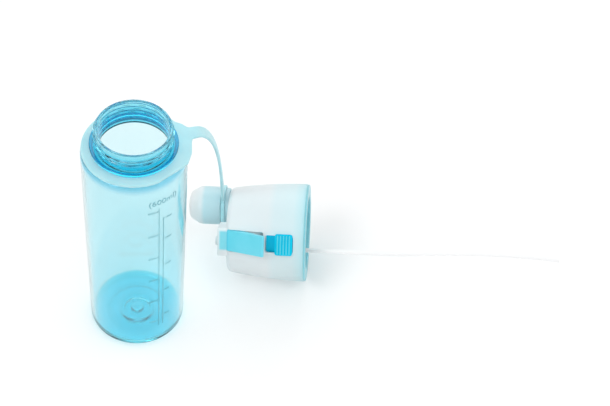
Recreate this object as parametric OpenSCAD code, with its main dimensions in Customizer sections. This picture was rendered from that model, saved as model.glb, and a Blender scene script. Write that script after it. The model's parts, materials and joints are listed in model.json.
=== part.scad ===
// Wide-mouth sports bottle with a mist-pump lid. The bottle stands on the floor and
// the unscrewed lid lies beside it, held by a silicone strap that runs from a collar
// on the neck to the dust cap on the lid's drinking spout.
// The row frame is +Z up with its origin at the centre of the bottle's base.

/* [Bottle body] */
// Outer diameter of the body at the shoulder
body_d = 75.5; // [66:0.5:92]
// How much narrower the body is at its base
body_draft = 3.5; // [0:0.5:8]
// Height of the shoulder's flat above the floor
shoulder_h = 188; // [150:1:230]
// Wall thickness of the body
body_wall = 2; // [1.4:0.1:3]
// Thickness of the base
base_wall = 3; // [2:0.5:6]
// Rounding radius of the shoulder
shoulder_round = 9; // [6:0.5:12]
// Rounding radius of the base corner
base_round = 6; // [4:0.5:9]

/* [Neck] */
// Inner diameter of the mouth
mouth_d = 50; // [44:0.5:54]
// Wall thickness of the neck
neck_wall = 2; // [1.5:0.1:3]
// Height of the neck above the shoulder's flat
neck_h = 21; // [18:0.5:26]
// How far the thread stands out of the neck
thread_depth = 1.3; // [0.8:0.1:1.8]
// Distance between neighbouring thread turns
thread_pitch = 3.5; // [3:0.1:4.2]
// Number of thread turns on the neck
thread_turns = 3; // [2:1:3]
// How far the stop bead stands out of the neck
bead_reach = 4.2; // [2.8:0.1:5]
// Thickness of the stop bead
bead_t = 2; // [1.5:0.1:3]

/* [Strap] */
// How far the collar's edge stays inside the body's side
collar_inset = 0.75; // [0:0.05:4]
// Thickness of the collar and band
strap_t = 2.2; // [1.6:0.1:3]
// Width of the band
band_w = 10; // [8:0.5:13]
// Compass heading in which the band leaves the collar
band_heading = 19.5; // [0:0.5:40]
// How far the band's bending line stands out past the body's side
band_reach = 7.45; // [6:0.05:14]
// How far the tab beside the band bulges out of the collar
tab_bulge = 3.7; // [0:0.1:5]
// Gap between the collar and the neck inside it
collar_gap = 0.4; // [0.3:0.05:1]
// Pull of the band's curve away from the collar
band_start_pull = 20; // [10:1:40]
// Pull of the band's curve away from the end ring
band_end_pull = 24; // [5:1:60]
// Turn of the band's landing point around the end ring
band_landing = -14; // [-60:1:60]
// Width of the end ring's flat
end_ring_w = 3.9; // [3:0.1:6]

/* [Lid shell] */
// Room between the threaded skirt and the shell
shell_room = 5.8; // [5.4:0.1:9]
// Height of the lid from its rim to its flat top
lid_h = 62.5; // [58:0.5:75]
// How far the shell's radius has drawn in at its top
barrel_draw = 5.6; // [3:0.1:8]
// Wall thickness of the shell
shell_wall = 2; // [1.4:0.1:2.4]
// Rounding radius of the shell's top edge
shell_round = 5; // [3:0.5:7]
// Height of the hood above the lid's top
hood_rise = 6.2; // [6:0.1:9]
// How far the hood reaches past the trigger's middle on the nozzle's side
hood_near = 13.5; // [12.5:0.1:16]
// How far the hood reaches past the trigger's middle on the other side
hood_far = 10; // [9.8:0.1:13]

/* [Inner cap] */
// Depth of the socket that screws onto the neck
socket_depth = 15.5; // [13:0.5:17]
// Thickness of the deck above the socket
deck_t = 2.7; // [2:0.1:4]
// Wall thickness of the threaded skirt
skirt_wall = 2; // [1.5:0.1:2.4]
// Radial gap between the two threads
thread_gap = 0.6; // [0.4:0.05:1]
// Thickness of the gasket under the deck
gasket_t = 1.9; // [1.2:0.1:2.5]
// Height of the cap's rim that shows below the shell
rim_lip = 1.4; // [0.8:0.1:3]

/* [Spout and dust cap] */
// Outer diameter of the drinking spout
spout_d = 22; // [18:0.5:24]
// Wall thickness of the drinking spout
spout_wall = 1.8; // [1.2:0.1:2.4]
// How far the spout stands above the lid's top
spout_rise = 20.5; // [14:0.5:24]
// Gap between the spout and the shell's wall beside it
spout_margin = 1.2; // [0.8:0.1:3]
// Angle around the lid from the trigger to the spout
spout_angle = 116; // [105:1:150]
// How far the dust cap's side stands out past the spout
dust_cap_reach = 4.1; // [3:0.05:6]
// How far the dust cap's tip stands above the lid's top
dust_cap_rise = 33; // [27:0.5:38]
// Wall thickness of the dust cap
dust_cap_wall = 1.6; // [1.2:0.1:2]
// Radial gap between the spout and what grips it
grip_gap = 0.06; // [0.03:0.01:0.1]

/* [Pump] */
// Bore diameter of the pump
pump_bore_d = 11; // [9:0.5:12]
// Wall thickness of the pump
pump_wall = 1.8; // [1.4:0.1:2.4]
// Height of the pump's axis above the rim
pump_z = 42; // [40:0.5:44]
// Sideways offset of the pump and nozzle from the trigger's middle
pump_side = -4; // [-4:0.5:-2]
// Diameter of the piston rod
rod_d = 5; // [4:0.5:6]
// Radial running gap of the rod and the piston ring
running_gap = 0.06; // [0.03:0.01:0.1]
// Diameter of each valve ball
ball_d = 4; // [3:0.5:4.4]
// Wire diameter of the return spring
spring_wire = 0.8; // [0.5:0.1:1]
// Number of coils in the return spring
spring_turns = 5; // [3:1:6]

/* [Trigger and lock] */
// Width of the trigger lever
lever_w = 16.5; // [14:0.5:17]
// Thickness of the trigger's plate
lever_t = 2.4; // [1.8:0.1:3]
// Height of the trigger's free end above the rim
tip_z = 32.3; // [30:0.1:36]
// How far the trigger's free end stands out of the shell
lever_proud = 9.1; // [8:0.1:11]
// Diameter of the trigger's hinge pin
pin_d = 2.5; // [2:0.1:3]
// Radial running gap of the hinge pin in the trigger
pin_gap = 0.05; // [0.02:0.01:0.1]
// Width of the lock slider's thumb pad
lock_w = 17; // [14:0.5:18]
// Length of the lock slider's thumb pad
lock_len = 13.6; // [11:0.1:14]
// Gap around the trigger and the lock in their windows
window_gap = 0.6; // [0.4:0.05:1]

/* [Dip tube] */
// Outer diameter of the dip tube
tube_d = 3.6; // [3:0.1:5]
// Bore of the dip tube
tube_bore = 2.2; // [1.5:0.1:3]
// How far the dip tube reaches out of the lid's rim
tube_reach = 198; // [170:1:205]
// Radius of the dip tube's natural curl
tube_curl_r = 650; // [400:10:1200]
// First bend of the dip tube
tube_first_bend = 3.3; // [0:0.1:6]
// Return bend of the dip tube
tube_return_bend = 8; // [0:0.1:9]

/* [Lid resting place] */
// Gap between the bottle's side and the dust cap's tip
bottle_gap = 2.24; // [1:0.01:40]
// Place of the lid's rim centre behind the bottle's axis
lid_y = 47; // [20:0.5:80]
// Turn of the lying lid's axis away from straight right
lid_yaw = -5.9; // [-20:0.1:20]
// Tilt of the lid's top towards the floor
lid_nose_down = 4.5; // [3:0.1:6]
// Roll of the lying lid about its own axis
lid_roll = 125; // [110:1:140]

/* [Hidden] */
$fn = 96;
SMALL_FN = 48;
EPS = 0.01;
CUT = 2;               // how far a cutter runs past the wall it cuts
BOND = 0.3;            // how far two pieces of one moulding run into each other
ARC_STEPS = 6;

// bottle
body_r = body_d / 2;
base_r = body_r - body_draft / 2;
mouth_r = mouth_d / 2;
neck_r = mouth_r + neck_wall;
neck_root_step = 1.5;  // the neck is this much thicker below its bead
neck_root_r = neck_r + neck_root_step;
neck_top = shoulder_h + neck_h;
strap_room = 2.3;      // free height between the collar and the bead
bead_z = shoulder_h + strap_t + strap_room;
bead_r = neck_r + bead_reach;
bead_chamfer = 0.4;
lip_chamfer = 0.5;
thread_r = neck_r + thread_depth;
thread_land = 0.9;     // width of a thread turn at its crest
thread_flank = 0.6;    // a flank's height as a share of the thread's depth
thread_start = 3.4;    // from the bead up to the first turn
first_thread_z = bead_z + bead_t + thread_start;
min_flat = 0.2;        // the least flat left between a rounding and the neck
shoulder_fillet = min(shoulder_round, body_r - neck_root_r - min_flat);
inner_fillet = min(shoulder_fillet - body_wall, body_r - body_wall - mouth_r - min_flat);

// strap
collar_lift = 0.1;     // the collar rides this far above the shoulder
collar_z = shoulder_h + collar_lift;
root_gap = 1.5;        // distance from the collar's tab to the band's bending line
collar_r = body_r - collar_inset;
band_root = body_r + band_reach;
tab_r = band_root - root_gap;
band_z = collar_z + strap_t / 2;
tab_arc = [-72, -41, -11, 22]; // where the tab starts, bulges, narrows and ends

// lid, in its own upright frame: rim at z = 0, trigger towards +X
socket_r = thread_r + thread_gap;
socket_thread_r = neck_r + thread_gap;
skirt_r = socket_r + skirt_wall;
rim_r = skirt_r + shell_room + shell_wall;
barrel_k = barrel_draw / pow(lid_h, 2);
BARREL_STEPS = 10;
function barrel_r(z) = rim_r - barrel_k * z * z;
shell_in_z = lid_h - shell_wall;
deck_top = socket_depth + deck_t;
lip_r = rim_r - 0.4;
shell_fit = 0.05;      // gap between the shell and the inner cap's rim
lip_step = 1.6;        // height of the inner cap's step inside the shell
cap_lead = 0.3;        // chamfer at the socket's mouth
socket_thread_z = 2.6; // the lowest thread turn in the socket
gasket_overlap = [0.8, 1.2]; // how far the gasket reaches past the mouth's edge, inside and outside

// spout and dust cap, both on the spout's own axis
spout_r = spout_d / 2;
spout_bore_r = spout_r - spout_wall;
spout_seal_t = 1;
spout_top = lid_h + spout_rise;
spout_offset = barrel_r(lid_h) - shell_wall - spout_r - spout_margin;
spout_flange = [1.5, 2];   // width and height of the spout's foot
spout_lip = [0.9, 0.4];    // outer and inner chamfer of the spout's lip
spout_hole_gap = 0.3;      // radial gap around the spout in the shell
spout_x = spout_offset * cos(spout_angle);
spout_y = spout_offset * sin(spout_angle);
cap_lift = 0.6;            // gap between the dust cap and the lid's top
dust_cap_base = lid_h + cap_lift;
dust_cap_top = lid_h + dust_cap_rise;
dust_cap_round = 10.5;
grip_r = spout_r + grip_gap;
dust_cap_r = grip_r + dust_cap_reach;
groove_r = grip_r + dust_cap_wall;
base_flange_r = dust_cap_r - 0.75;
base_flange_h = 3.1;
end_ring_t = 3;
groove_z = dust_cap_base + base_flange_h;
ring_play = 0.1;           // gap above and below the end ring in its groove
groove_top = groove_z + end_ring_t + 2 * ring_play;
groove_lead = 0.8;         // height of the slope above the groove
grip_shoulder = [1, 2.4];  // heights above the groove of the grip's end and the room's start
end_ring_z = groove_z + ring_play;
end_ring_r = groove_r + end_ring_w;
plug_len = 3.5;
plug_r = spout_bore_r - grip_gap;

// trigger
hinge_inset = 10.2;    // the hinge pin's distance inside the rim
hinge_x = rim_r - hinge_inset;
hinge_z = lid_h + 2.7;
hood_top = lid_h + hood_rise;
hood_roof = 0.9;
head_top = hood_top - hood_roof - 0.4;
head_front = hinge_x + 3.5;
head_back = hinge_x - 2.6;
head_corner = [1, 1.5]; // chamfers at the head's back and front
face_top_z = lid_h - 2.5;
tip_x = barrel_r(tip_z) + lever_proud;
face_len = norm([tip_x - head_front, face_top_z - tip_z]);
face_nx = (face_top_z - tip_z) / face_len;
face_nz = (tip_x - head_front) / face_len;
function face_x(z) = head_front + (face_top_z - z) * (tip_x - head_front) / (face_top_z - tip_z);
skirt_depth = 4;       // depth of the trigger's side skirts behind its face
lever_skirt_t = 1.4;
skirt_bite = 0.3;      // how far the skirts stay behind the trigger's front
skirt_end_z = pump_z - 2;
tip_bevel = 1.2;       // length of the bevel behind the trigger's free end
lever_window_w = lever_w + 2 * window_gap;
lever_window = [tip_z + 0.4, face_top_z + 1.3];
pusher_r = 2;
pusher_w = 5;
pusher_block_t = 3;
pusher_x = hinge_x + 7.1; // where the trigger's pusher nose meets the rod
pin_inset = 0.3;       // the pin's ends stay this far inside the hood
rod_gap = 0.45;        // free travel between the pusher nose and the rod

// pump
pump_r = pump_bore_d / 2;
pump_out_r = pump_r + pump_wall;
pump_len = 17.5;
pump_front = hinge_x - 6.5;
pump_back = pump_front - pump_len;
chamber_back = pump_back + 2;
gland_plug = 1.5;
gland_flange = 2;
gland_face = pump_front + gland_flange;
piston_len = 3.9;
piston_rest_gap = 0.3; // gap between the piston at rest and the gland
piston_back = pump_front - gland_plug - piston_rest_gap;
piston_gap = 0.3;
ring_w = 1.5;
ring_depth = 1.2;
rod_r = rod_d / 2;
rod_head_t = 1.5;
rod_head_r = 3.9;
rod_end = pusher_x - rod_gap;
ball_r = ball_d / 2;
seat_r = ball_r * 0.55;
seat_rise = sqrt(ball_r * ball_r - seat_r * seat_r);
ball_room = 0.5;       // radial room around each ball
ball_lift = 1.1;       // room above the outlet ball
ball_rest = 0.03;      // each ball is drawn this far off its seat
valve_x = pump_back + 5.5;
inlet_y = pump_side - pump_r - 2;
inlet_r = 4;
inlet_foot = [1.2, 1.5]; // width and height of the foot flange on the deck
inlet_seat_z = deck_top + 10.3;
inlet_foot_z = socket_depth - 1;
inlet_port = 2;        // the inlet chamber opens this far above the pump's axis
outlet_r = 3.9;
outlet_seat_z = pump_z + pump_out_r + 0.2;
outlet_top = outlet_seat_z + seat_rise + ball_r + ball_lift;
tube_plug_z = inlet_seat_z - 2.5;
tube_end_gap = 0.2;
socket_fit = 0.05;
pump_foot = [5, 3];    // length and width of the post under the pump
pump_foot_x = pump_front - 7;
pump_foot_bite = 1.3;  // how far the post runs into the pump's wall

// spray
nozzle_x = hinge_x - 9;
nozzle_r = 4.2;
nozzle_tip_r = 3.4;
nozzle_base_z = lid_h - 0.5;
nozzle_shoulder_z = hood_top + 0.4;
nozzle_top = hood_top + 2.6;
nozzle_edge = 0.6;
nozzle_face_t = 1.3;
nozzle_dish = 0.8;     // width of the dish around the orifice
duct_lap = 4;          // how far the duct's riser runs up inside the nozzle
duct_r = 2.4;
duct_bore_r = 1.2;
duct_clear = 0.1;      // height of the duct's pipe over the pump's top
duct_z = outlet_top + duct_r + duct_clear;
orifice_r = 0.3;
insert_t = 2.4;
swirl_slot = [0.6, 0.6]; // depth and width of each slot in the swirl insert

// hood
hood_back = hinge_x - 16;
hood_wall = 1.8;
head_front_gap = 0.6;
hood_front_t = 1.3;
hood_r = head_front + head_front_gap + hood_front_t;
head_side_gap = 0.35;
hood_room_z = shell_in_z - shell_round;
hood_room_x = head_front + head_front_gap - hood_back - hood_wall;
head_slot_w = lever_w + 2 * head_side_gap;

// lock
lock_window = [9.4, tip_z - 1.3];
lock_pad_z = lock_window[0] + 0.5;
lock_travel = 4.8;
plate_in_r = skirt_r + 1.7;
plate_gap = 0.4;       // gap between the lock's plate and the shell
plate_top = lock_window[1] - 0.6;
plate_out_r = barrel_r(plate_top + lock_travel + 1.8) - shell_wall - plate_gap;
tongue_w = 12.8;
lock_window_w = tongue_w + 2 * window_gap;
plate_lap = [1, 2];    // how far the plate runs past its window, below and at each side
plate_w = lock_window_w + 2 * plate_lap[1];
tongue_r = barrel_r(lever_window[0]) - shell_wall - 0.25;
pad_in_r = barrel_r(lock_pad_z) + 0.1;
pad_t = 0.9;
rib_count = 5;
rib_proud = 0.8;
rib_w = 1.1;
rib_inset = 1;         // the ribs stop this far from the pad's sides

// dip tube
tube_r = tube_d / 2;
curl_heading = 104;    // side towards which the tube first curls
tube_straight = 50;    // straight stretch below the rim
tube_middle = 20;      // straight stretch between the two bends
arc_length = function(a) tube_curl_r * a * PI / 180;
tube_tail = tube_reach - tube_straight - tube_middle
    - arc_length(tube_first_bend) - arc_length(tube_return_bend);

// the lying lid touches the floor along its bowed side
rest_z = rim_r * cos(lid_nose_down)
    + pow(sin(lid_nose_down), 2) / (4 * barrel_k * cos(lid_nose_down));
function turn_z(p, a) = [p.x * cos(a) - p.y * sin(a), p.x * sin(a) + p.y * cos(a), p.z];
function turn_y(p, a) = [p.x * cos(a) + p.z * sin(a), p.y, p.z * cos(a) - p.x * sin(a)];
function lid_dir(p) = turn_z(turn_y(turn_z(p, lid_roll), 90 + lid_nose_down), 180 + lid_yaw);
lid_x = body_r + bottle_gap - lid_dir([spout_x, spout_y, dust_cap_top]).x;
lid_origin = [lid_x, lid_y, rest_z];
function lid_point(p) = lid_origin + lid_dir(p);

// ---- shared shapes ----

function polar(r, a) = [r * cos(a), r * sin(a)];
function arc_points(cx, cy, r, a0, a1) =
    [for (i = [0:ARC_STEPS]) let (a = a0 + (a1 - a0) * i / ARC_STEPS) [cx + r * cos(a), cy + r * sin(a)]];

module spin(points, fn = $fn) {
    rotate_extrude($fn = fn) polygon(points);
}

module tube(r_out, r_in, h) {
    difference() {
        cylinder(r = r_out, h = h);
        translate([0, 0, -CUT]) cylinder(r = r_in, h = h + 2 * CUT);
    }
}

module slab_xz(points, width) {
    rotate([90, 0, 0]) linear_extrude(height = width, center = true) polygon(points);
}

module along_x(x, y, z) {
    translate([x, y, z]) rotate([0, 90, 0]) children();
}

module in_lid() {
    translate(lid_origin)
        rotate([0, 90 + lid_nose_down, 180 + lid_yaw])
            rotate([0, 0, lid_roll])
                children();
}

module on_spout() {
    in_lid() translate([spout_x, spout_y, 0]) children();
}

// ---- bottle ----

module thread_ring(r_root, r_crest, z) {
    slope = abs(r_crest - r_root) * thread_flank;
    spin([
        [r_root, z - thread_land / 2 - slope],
        [r_crest, z - thread_land / 2],
        [r_crest, z + thread_land / 2],
        [r_root, z + thread_land / 2 + slope]
    ]);
}

module bottle_outline() {
    inner_base_r = base_r - body_wall;
    inner_body_r = body_r - body_wall;
    inner_base_round = base_round - body_wall;
    polygon(concat(
        [[0, 0]],
        arc_points(base_r - base_round, base_round, base_round, -90, 0),
        arc_points(body_r - shoulder_fillet, shoulder_h - shoulder_fillet, shoulder_fillet, 0, 90),
        [
            [neck_root_r, shoulder_h],
            [neck_root_r, bead_z],
            [bead_r - bead_chamfer, bead_z],
            [bead_r, bead_z + bead_chamfer],
            [bead_r, bead_z + bead_t - bead_chamfer],
            [bead_r - bead_chamfer, bead_z + bead_t],
            [neck_r, bead_z + bead_t],
            [neck_r, neck_top - lip_chamfer],
            [neck_r - lip_chamfer, neck_top],
            [mouth_r + lip_chamfer, neck_top],
            [mouth_r, neck_top - lip_chamfer],
            [mouth_r, shoulder_h - body_wall]
        ],
        arc_points(inner_body_r - inner_fillet, shoulder_h - body_wall - inner_fillet, inner_fillet, 90, 0),
        arc_points(inner_base_r - inner_base_round, base_wall + inner_base_round, inner_base_round, 0, -90),
        [[0, base_wall]]
    ));
}

module bottle_body() {
    color([0.55, 0.87, 0.94, 0.5]) union() {
        rotate_extrude() bottle_outline();
        for (i = [0:thread_turns - 1])
            thread_ring(neck_r - BOND, thread_r, first_thread_z + i * thread_pitch);
    }
}

// ---- strap ----

module strap_collar() {
    half = band_w / 2;
    color([0.67, 0.85, 0.89]) difference() {
        translate([0, 0, collar_z]) linear_extrude(height = strap_t) union() {
            circle(r = collar_r);
            rotate(band_heading) polygon(concat(
                [[0, 0], polar(collar_r, tab_arc[0])],
                [for (a = [tab_arc[1]:6:tab_arc[2]]) polar(collar_r + tab_bulge, a)],
                [
                    [tab_r - 2, -half],
                    [tab_r, -half],
                    [tab_r, half],
                    [tab_r - 1.5, half + 1],
                    [collar_r + 1.5, half + 4.5],
                    polar(collar_r, tab_arc[3])
                ]
            ));
        }
        translate([0, 0, collar_z - CUT]) cylinder(r = neck_root_r + collar_gap, h = strap_t + 2 * CUT);
    }
}

band_start = [band_root * cos(band_heading), band_root * sin(band_heading), band_z];
band_out = [cos(band_heading), sin(band_heading), 0];
band_across = [-sin(band_heading), cos(band_heading), 0];
ring_axis = lid_dir([0, 0, 1]);
ring_centre = lid_point([spout_x, spout_y, end_ring_z + end_ring_t / 2]);
ring_up = unit([0, 0, 1] - ring_axis * ring_axis.z);
ring_side = cross(ring_axis, ring_up);
landing_dir = ring_up * cos(band_landing) + ring_side * sin(band_landing);
landing = ring_centre + landing_dir * (end_ring_r - BOND);
landing_across = cross(ring_axis, landing_dir);
BAND_STEPS = 36;

function unit(v) = v / norm(v);
function band_point(t) =
    pow(1 - t, 3) * band_start
    + 3 * pow(1 - t, 2) * t * (band_start + band_out * band_start_pull)
    + 3 * (1 - t) * t * t * (landing + landing_dir * band_end_pull)
    + pow(t, 3) * landing;
function band_tangent(t) = unit(band_point(t + 0.001) - band_point(t - 0.001));
function band_width_dir(t) =
    let (along = band_tangent(t), mix = band_across * (1 - t) + landing_across * t)
    unit(mix - along * (mix * along));
// corners of the band's section, as shares of its half width and half thickness
band_section = [[-1, -0.5], [-0.94, -1], [0.94, -1], [1, -0.5], [1, 0.5], [0.94, 1], [-0.94, 1], [-1, 0.5]];
function band_ring(t) =
    let (w = band_width_dir(t) * band_w / 2, n = cross(band_tangent(t), band_width_dir(t)) * strap_t / 2)
    [for (c = band_section) band_point(t) + w * c.x + n * c.y];

module sweep(rings) {
    count = len(rings);
    sides = len(rings[0]);
    polyhedron(
        points = [for (ring = rings) each ring],
        faces = concat(
            [[for (j = [0:sides - 1]) j]],
            [for (i = [0:count - 2], j = [0:sides - 1], k = [0:1])
                let (a = i * sides + j, b = i * sides + (j + 1) % sides)
                k == 0 ? [a, b + sides, b] : [a, a + sides, b + sides]],
            [[for (j = [sides - 1:-1:0]) (count - 1) * sides + j]]
        )
    );
}

module strap_band() {
    color([0.67, 0.85, 0.89]) sweep([for (i = [0:BAND_STEPS]) band_ring(i / BAND_STEPS)]);
}

module strap_end_ring() {
    color([0.67, 0.85, 0.89]) on_spout() translate([0, 0, end_ring_z])
        tube(end_ring_r, groove_r, end_ring_t);
}

module dust_cap() {
    inner_r = dust_cap_r - dust_cap_wall;
    inner_round = dust_cap_round - dust_cap_wall;
    inner_top = dust_cap_top - dust_cap_wall;
    color([0.86, 0.9, 0.9, 0.7]) on_spout() union() {
        spin(concat(
            [
                [grip_r, dust_cap_base],
                [base_flange_r, dust_cap_base],
                [base_flange_r, groove_z],
                [groove_r, groove_z],
                [groove_r, groove_top],
                [dust_cap_r, groove_top + groove_lead]
            ],
            arc_points(dust_cap_r - dust_cap_round, dust_cap_top - dust_cap_round, dust_cap_round, 0, 90),
            [[0, dust_cap_top], [0, inner_top]],
            arc_points(inner_r - inner_round, inner_top - inner_round, inner_round, 90, 0),
            [[inner_r, groove_top + grip_shoulder[1]], [grip_r, groove_top + grip_shoulder[0]]]
        ));
        translate([0, 0, spout_top - plug_len])
            tube(plug_r, plug_r - dust_cap_wall, inner_top + BOND - spout_top + plug_len);
    }
}

// ---- lid shell and inner cap ----

module barrel(inset, z0, z1, corner) {
    zc = z1 - corner;
    spin(concat(
        [[0, z0]],
        [for (i = [0:BARREL_STEPS]) let (z = z0 + (zc - z0) * i / BARREL_STEPS) [barrel_r(z) - inset, z]],
        arc_points(barrel_r(zc) - inset - corner, zc, corner, 0, 90),
        [[0, z1]]
    ));
}

module hood_block() {
    intersection() {
        translate([hood_back, -hood_near, lid_h - shell_wall])
            cube([2 * hood_r, hood_near + hood_far, hood_rise + shell_wall]);
        cylinder(r = hood_r, h = hood_top);
    }
}

module window(z_range, width) {
    translate([hood_back, -width / 2, z_range[0]])
        cube([2 * rim_r, width, z_range[1] - z_range[0]]);
}

module outer_shell() {
    color([0.86, 0.91, 0.92, 0.7]) in_lid() difference() {
        union() {
            difference() {
                barrel(0, rim_lip, lid_h, shell_round);
                barrel(shell_wall, rim_lip - EPS, shell_in_z, shell_round - shell_wall);
                translate([0, 0, rim_lip - CUT]) cylinder(r = rim_r - shell_wall, h = CUT + EPS);
            }
            hood_block();
        }
        translate([spout_x, spout_y, shell_in_z - CUT])
            cylinder(r = spout_r + spout_hole_gap, h = shell_wall + 2 * CUT);
        translate([hood_back + hood_wall, -head_slot_w / 2, hood_room_z])
            cube([hood_room_x, head_slot_w, hood_top - hood_roof - hood_room_z]);
        window(lever_window, lever_window_w);
        window(lock_window, lock_window_w);
        translate([hinge_x, 0, hinge_z]) rotate([90, 0, 0])
            cylinder(r = pin_d / 2, h = 2 * (hood_near + CUT), center = true, $fn = SMALL_FN);
        translate([nozzle_x, pump_side, nozzle_base_z]) cylinder(r = nozzle_r + socket_fit, h = hood_top);
    }
}

module inner_cap() {
    lip_seat_r = barrel_r(rim_lip) - shell_wall - shell_fit;
    color([0.3, 0.78, 0.9]) in_lid() difference() {
        union() {
            spin([
                [socket_r, cap_lead],
                [socket_r + cap_lead, 0],
                [lip_r, 0],
                [lip_r, rim_lip - shell_fit],
                [lip_seat_r, rim_lip - shell_fit],
                [lip_seat_r, rim_lip + lip_step],
                [skirt_r, rim_lip + lip_step],
                [skirt_r, deck_top - 1],
                [skirt_r - 1, deck_top],
                [0, deck_top],
                [0, socket_depth],
                [socket_r, socket_depth]
            ]);
            for (i = [0:thread_turns - 1])
                thread_ring(socket_r + BOND, socket_thread_r, socket_thread_z + i * thread_pitch);
        }
        translate([spout_x, spout_y, socket_depth - CUT]) cylinder(r = spout_bore_r, h = deck_t + 2 * CUT);
        translate([valve_x, inlet_y, socket_depth - CUT]) cylinder(r = inlet_r, h = deck_t + 2 * CUT);
    }
}

module lid_gasket() {
    color([0.9, 0.93, 0.93]) in_lid() translate([0, 0, socket_depth - gasket_t])
        tube(neck_r + gasket_overlap[1], mouth_r - gasket_overlap[0], gasket_t);
}

module drink_spout() {
    z0 = deck_top + spout_seal_t;
    color([0.45, 0.84, 0.93, 0.8]) on_spout() spin([
        [spout_bore_r, z0],
        [spout_r + spout_flange[0], z0],
        [spout_r + spout_flange[0], z0 + spout_flange[1]],
        [spout_r, z0 + spout_flange[1]],
        [spout_r, spout_top - spout_lip[0]],
        [spout_r - spout_lip[0], spout_top],
        [spout_bore_r + spout_lip[1], spout_top],
        [spout_bore_r, spout_top - spout_lip[1]]
    ]);
}

module spout_seal() {
    color([0.9, 0.93, 0.93]) on_spout() translate([0, 0, deck_top])
        tube(spout_r + spout_flange[0] - 0.2, spout_bore_r, spout_seal_t);
}

// ---- pump ----

module at_inlet(z) {
    translate([valve_x, inlet_y, z]) children();
}

module at_outlet(z) {
    translate([valve_x, pump_side, z]) children();
}

module pump_body() {
    housing_top = pump_z + inlet_r;
    color([0.88, 0.91, 0.92]) in_lid() difference() {
        union() {
            along_x(pump_back, pump_side, pump_z) cylinder(r = pump_out_r, h = pump_len, $fn = SMALL_FN);
            at_inlet(inlet_foot_z) cylinder(r = inlet_r, h = housing_top - inlet_foot_z, $fn = SMALL_FN);
            at_inlet(deck_top) cylinder(r = inlet_r + inlet_foot[0], h = inlet_foot[1], $fn = SMALL_FN);
            at_outlet(pump_z) cylinder(r = outlet_r, h = outlet_top - pump_z, $fn = SMALL_FN);
            translate([pump_foot_x, pump_side - pump_foot[1] / 2, deck_top])
                cube([pump_foot[0], pump_foot[1], pump_z - pump_out_r + pump_foot_bite - deck_top]);
        }
        along_x(chamber_back, pump_side, pump_z) cylinder(r = pump_r, h = pump_front, $fn = SMALL_FN);
        at_inlet(inlet_foot_z - CUT)
            cylinder(r = tube_r + socket_fit, h = tube_plug_z - inlet_foot_z + CUT, $fn = SMALL_FN);
        at_inlet(tube_plug_z - EPS) cylinder(r = seat_r, h = inlet_seat_z - tube_plug_z + CUT, $fn = SMALL_FN);
        at_inlet(inlet_seat_z)
            cylinder(r = ball_r + ball_room, h = pump_z + inlet_port - inlet_seat_z, $fn = SMALL_FN);
        at_outlet(pump_z) cylinder(r = seat_r, h = outlet_top, $fn = SMALL_FN);
        at_outlet(outlet_seat_z) cylinder(r = ball_r + ball_room, h = outlet_top, $fn = SMALL_FN);
    }
}

module inlet_ball() {
    color("silver") in_lid() at_inlet(inlet_seat_z + seat_rise + ball_rest) sphere(r = ball_r, $fn = SMALL_FN);
}

module outlet_ball() {
    color("silver") in_lid() at_outlet(outlet_seat_z + seat_rise + ball_rest)
        sphere(r = ball_r, $fn = SMALL_FN);
}

module pump_gland() {
    color([0.8, 0.86, 0.88]) in_lid() along_x(pump_front - gland_plug, pump_side, pump_z) difference() {
        union() {
            cylinder(r = pump_r, h = gland_plug + EPS, $fn = SMALL_FN);
            translate([0, 0, gland_plug]) cylinder(r = pump_out_r, h = gland_flange, $fn = SMALL_FN);
        }
        translate([0, 0, -CUT])
            cylinder(r = rod_r + running_gap, h = gland_plug + gland_flange + 2 * CUT, $fn = SMALL_FN);
    }
}

module piston() {
    front = piston_back - piston_len;
    head_r = pump_r - piston_gap;
    ring_z = (piston_len - ring_w) / 2;
    color([0.93, 0.94, 0.94]) in_lid() along_x(front, pump_side, pump_z) spin([
        [0, 0],
        [head_r, 0],
        [head_r, ring_z],
        [pump_r - ring_depth, ring_z],
        [pump_r - ring_depth, ring_z + ring_w],
        [head_r, ring_z + ring_w],
        [head_r, piston_len],
        [rod_r, piston_len],
        [rod_r, rod_end - rod_head_t - front],
        [rod_head_r, rod_end - rod_head_t - front],
        [rod_head_r, rod_end - front],
        [0, rod_end - front]
    ], SMALL_FN);
}

module piston_ring() {
    color([0.25, 0.28, 0.3]) in_lid()
        along_x(piston_back - (piston_len + ring_w) / 2, pump_side, pump_z)
            tube(pump_r - running_gap, pump_r - ring_depth, ring_w);
}

SPRING_SIDES = 6;
SPRING_STEPS = 18;     // rings in each coil of the spring
spring_room = rod_end - rod_head_t - gland_face;
spring_inset = 0.2;
spring_end_gap = 0.05;
spring_r = rod_head_r - spring_wire / 2 - spring_inset;
function spring_ring(t) =
    let (
        a = 360 * spring_turns * t,
        z = spring_wire / 2 + spring_end_gap + (spring_room - spring_wire - 2 * spring_end_gap) * t,
        out = [cos(a), sin(a), 0]
    )
    [for (j = [0:SPRING_SIDES - 1]) let (b = 360 * j / SPRING_SIDES)
        out * (spring_r + cos(b) * spring_wire / 2) + [0, 0, z + sin(b) * spring_wire / 2]];

module return_spring() {
    count = spring_turns * SPRING_STEPS;
    color([0.75, 0.77, 0.8]) in_lid() along_x(gland_face, pump_side, pump_z)
        sweep([for (i = [count:-1:0]) spring_ring(i / count)]);
}

// ---- spray ----

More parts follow.
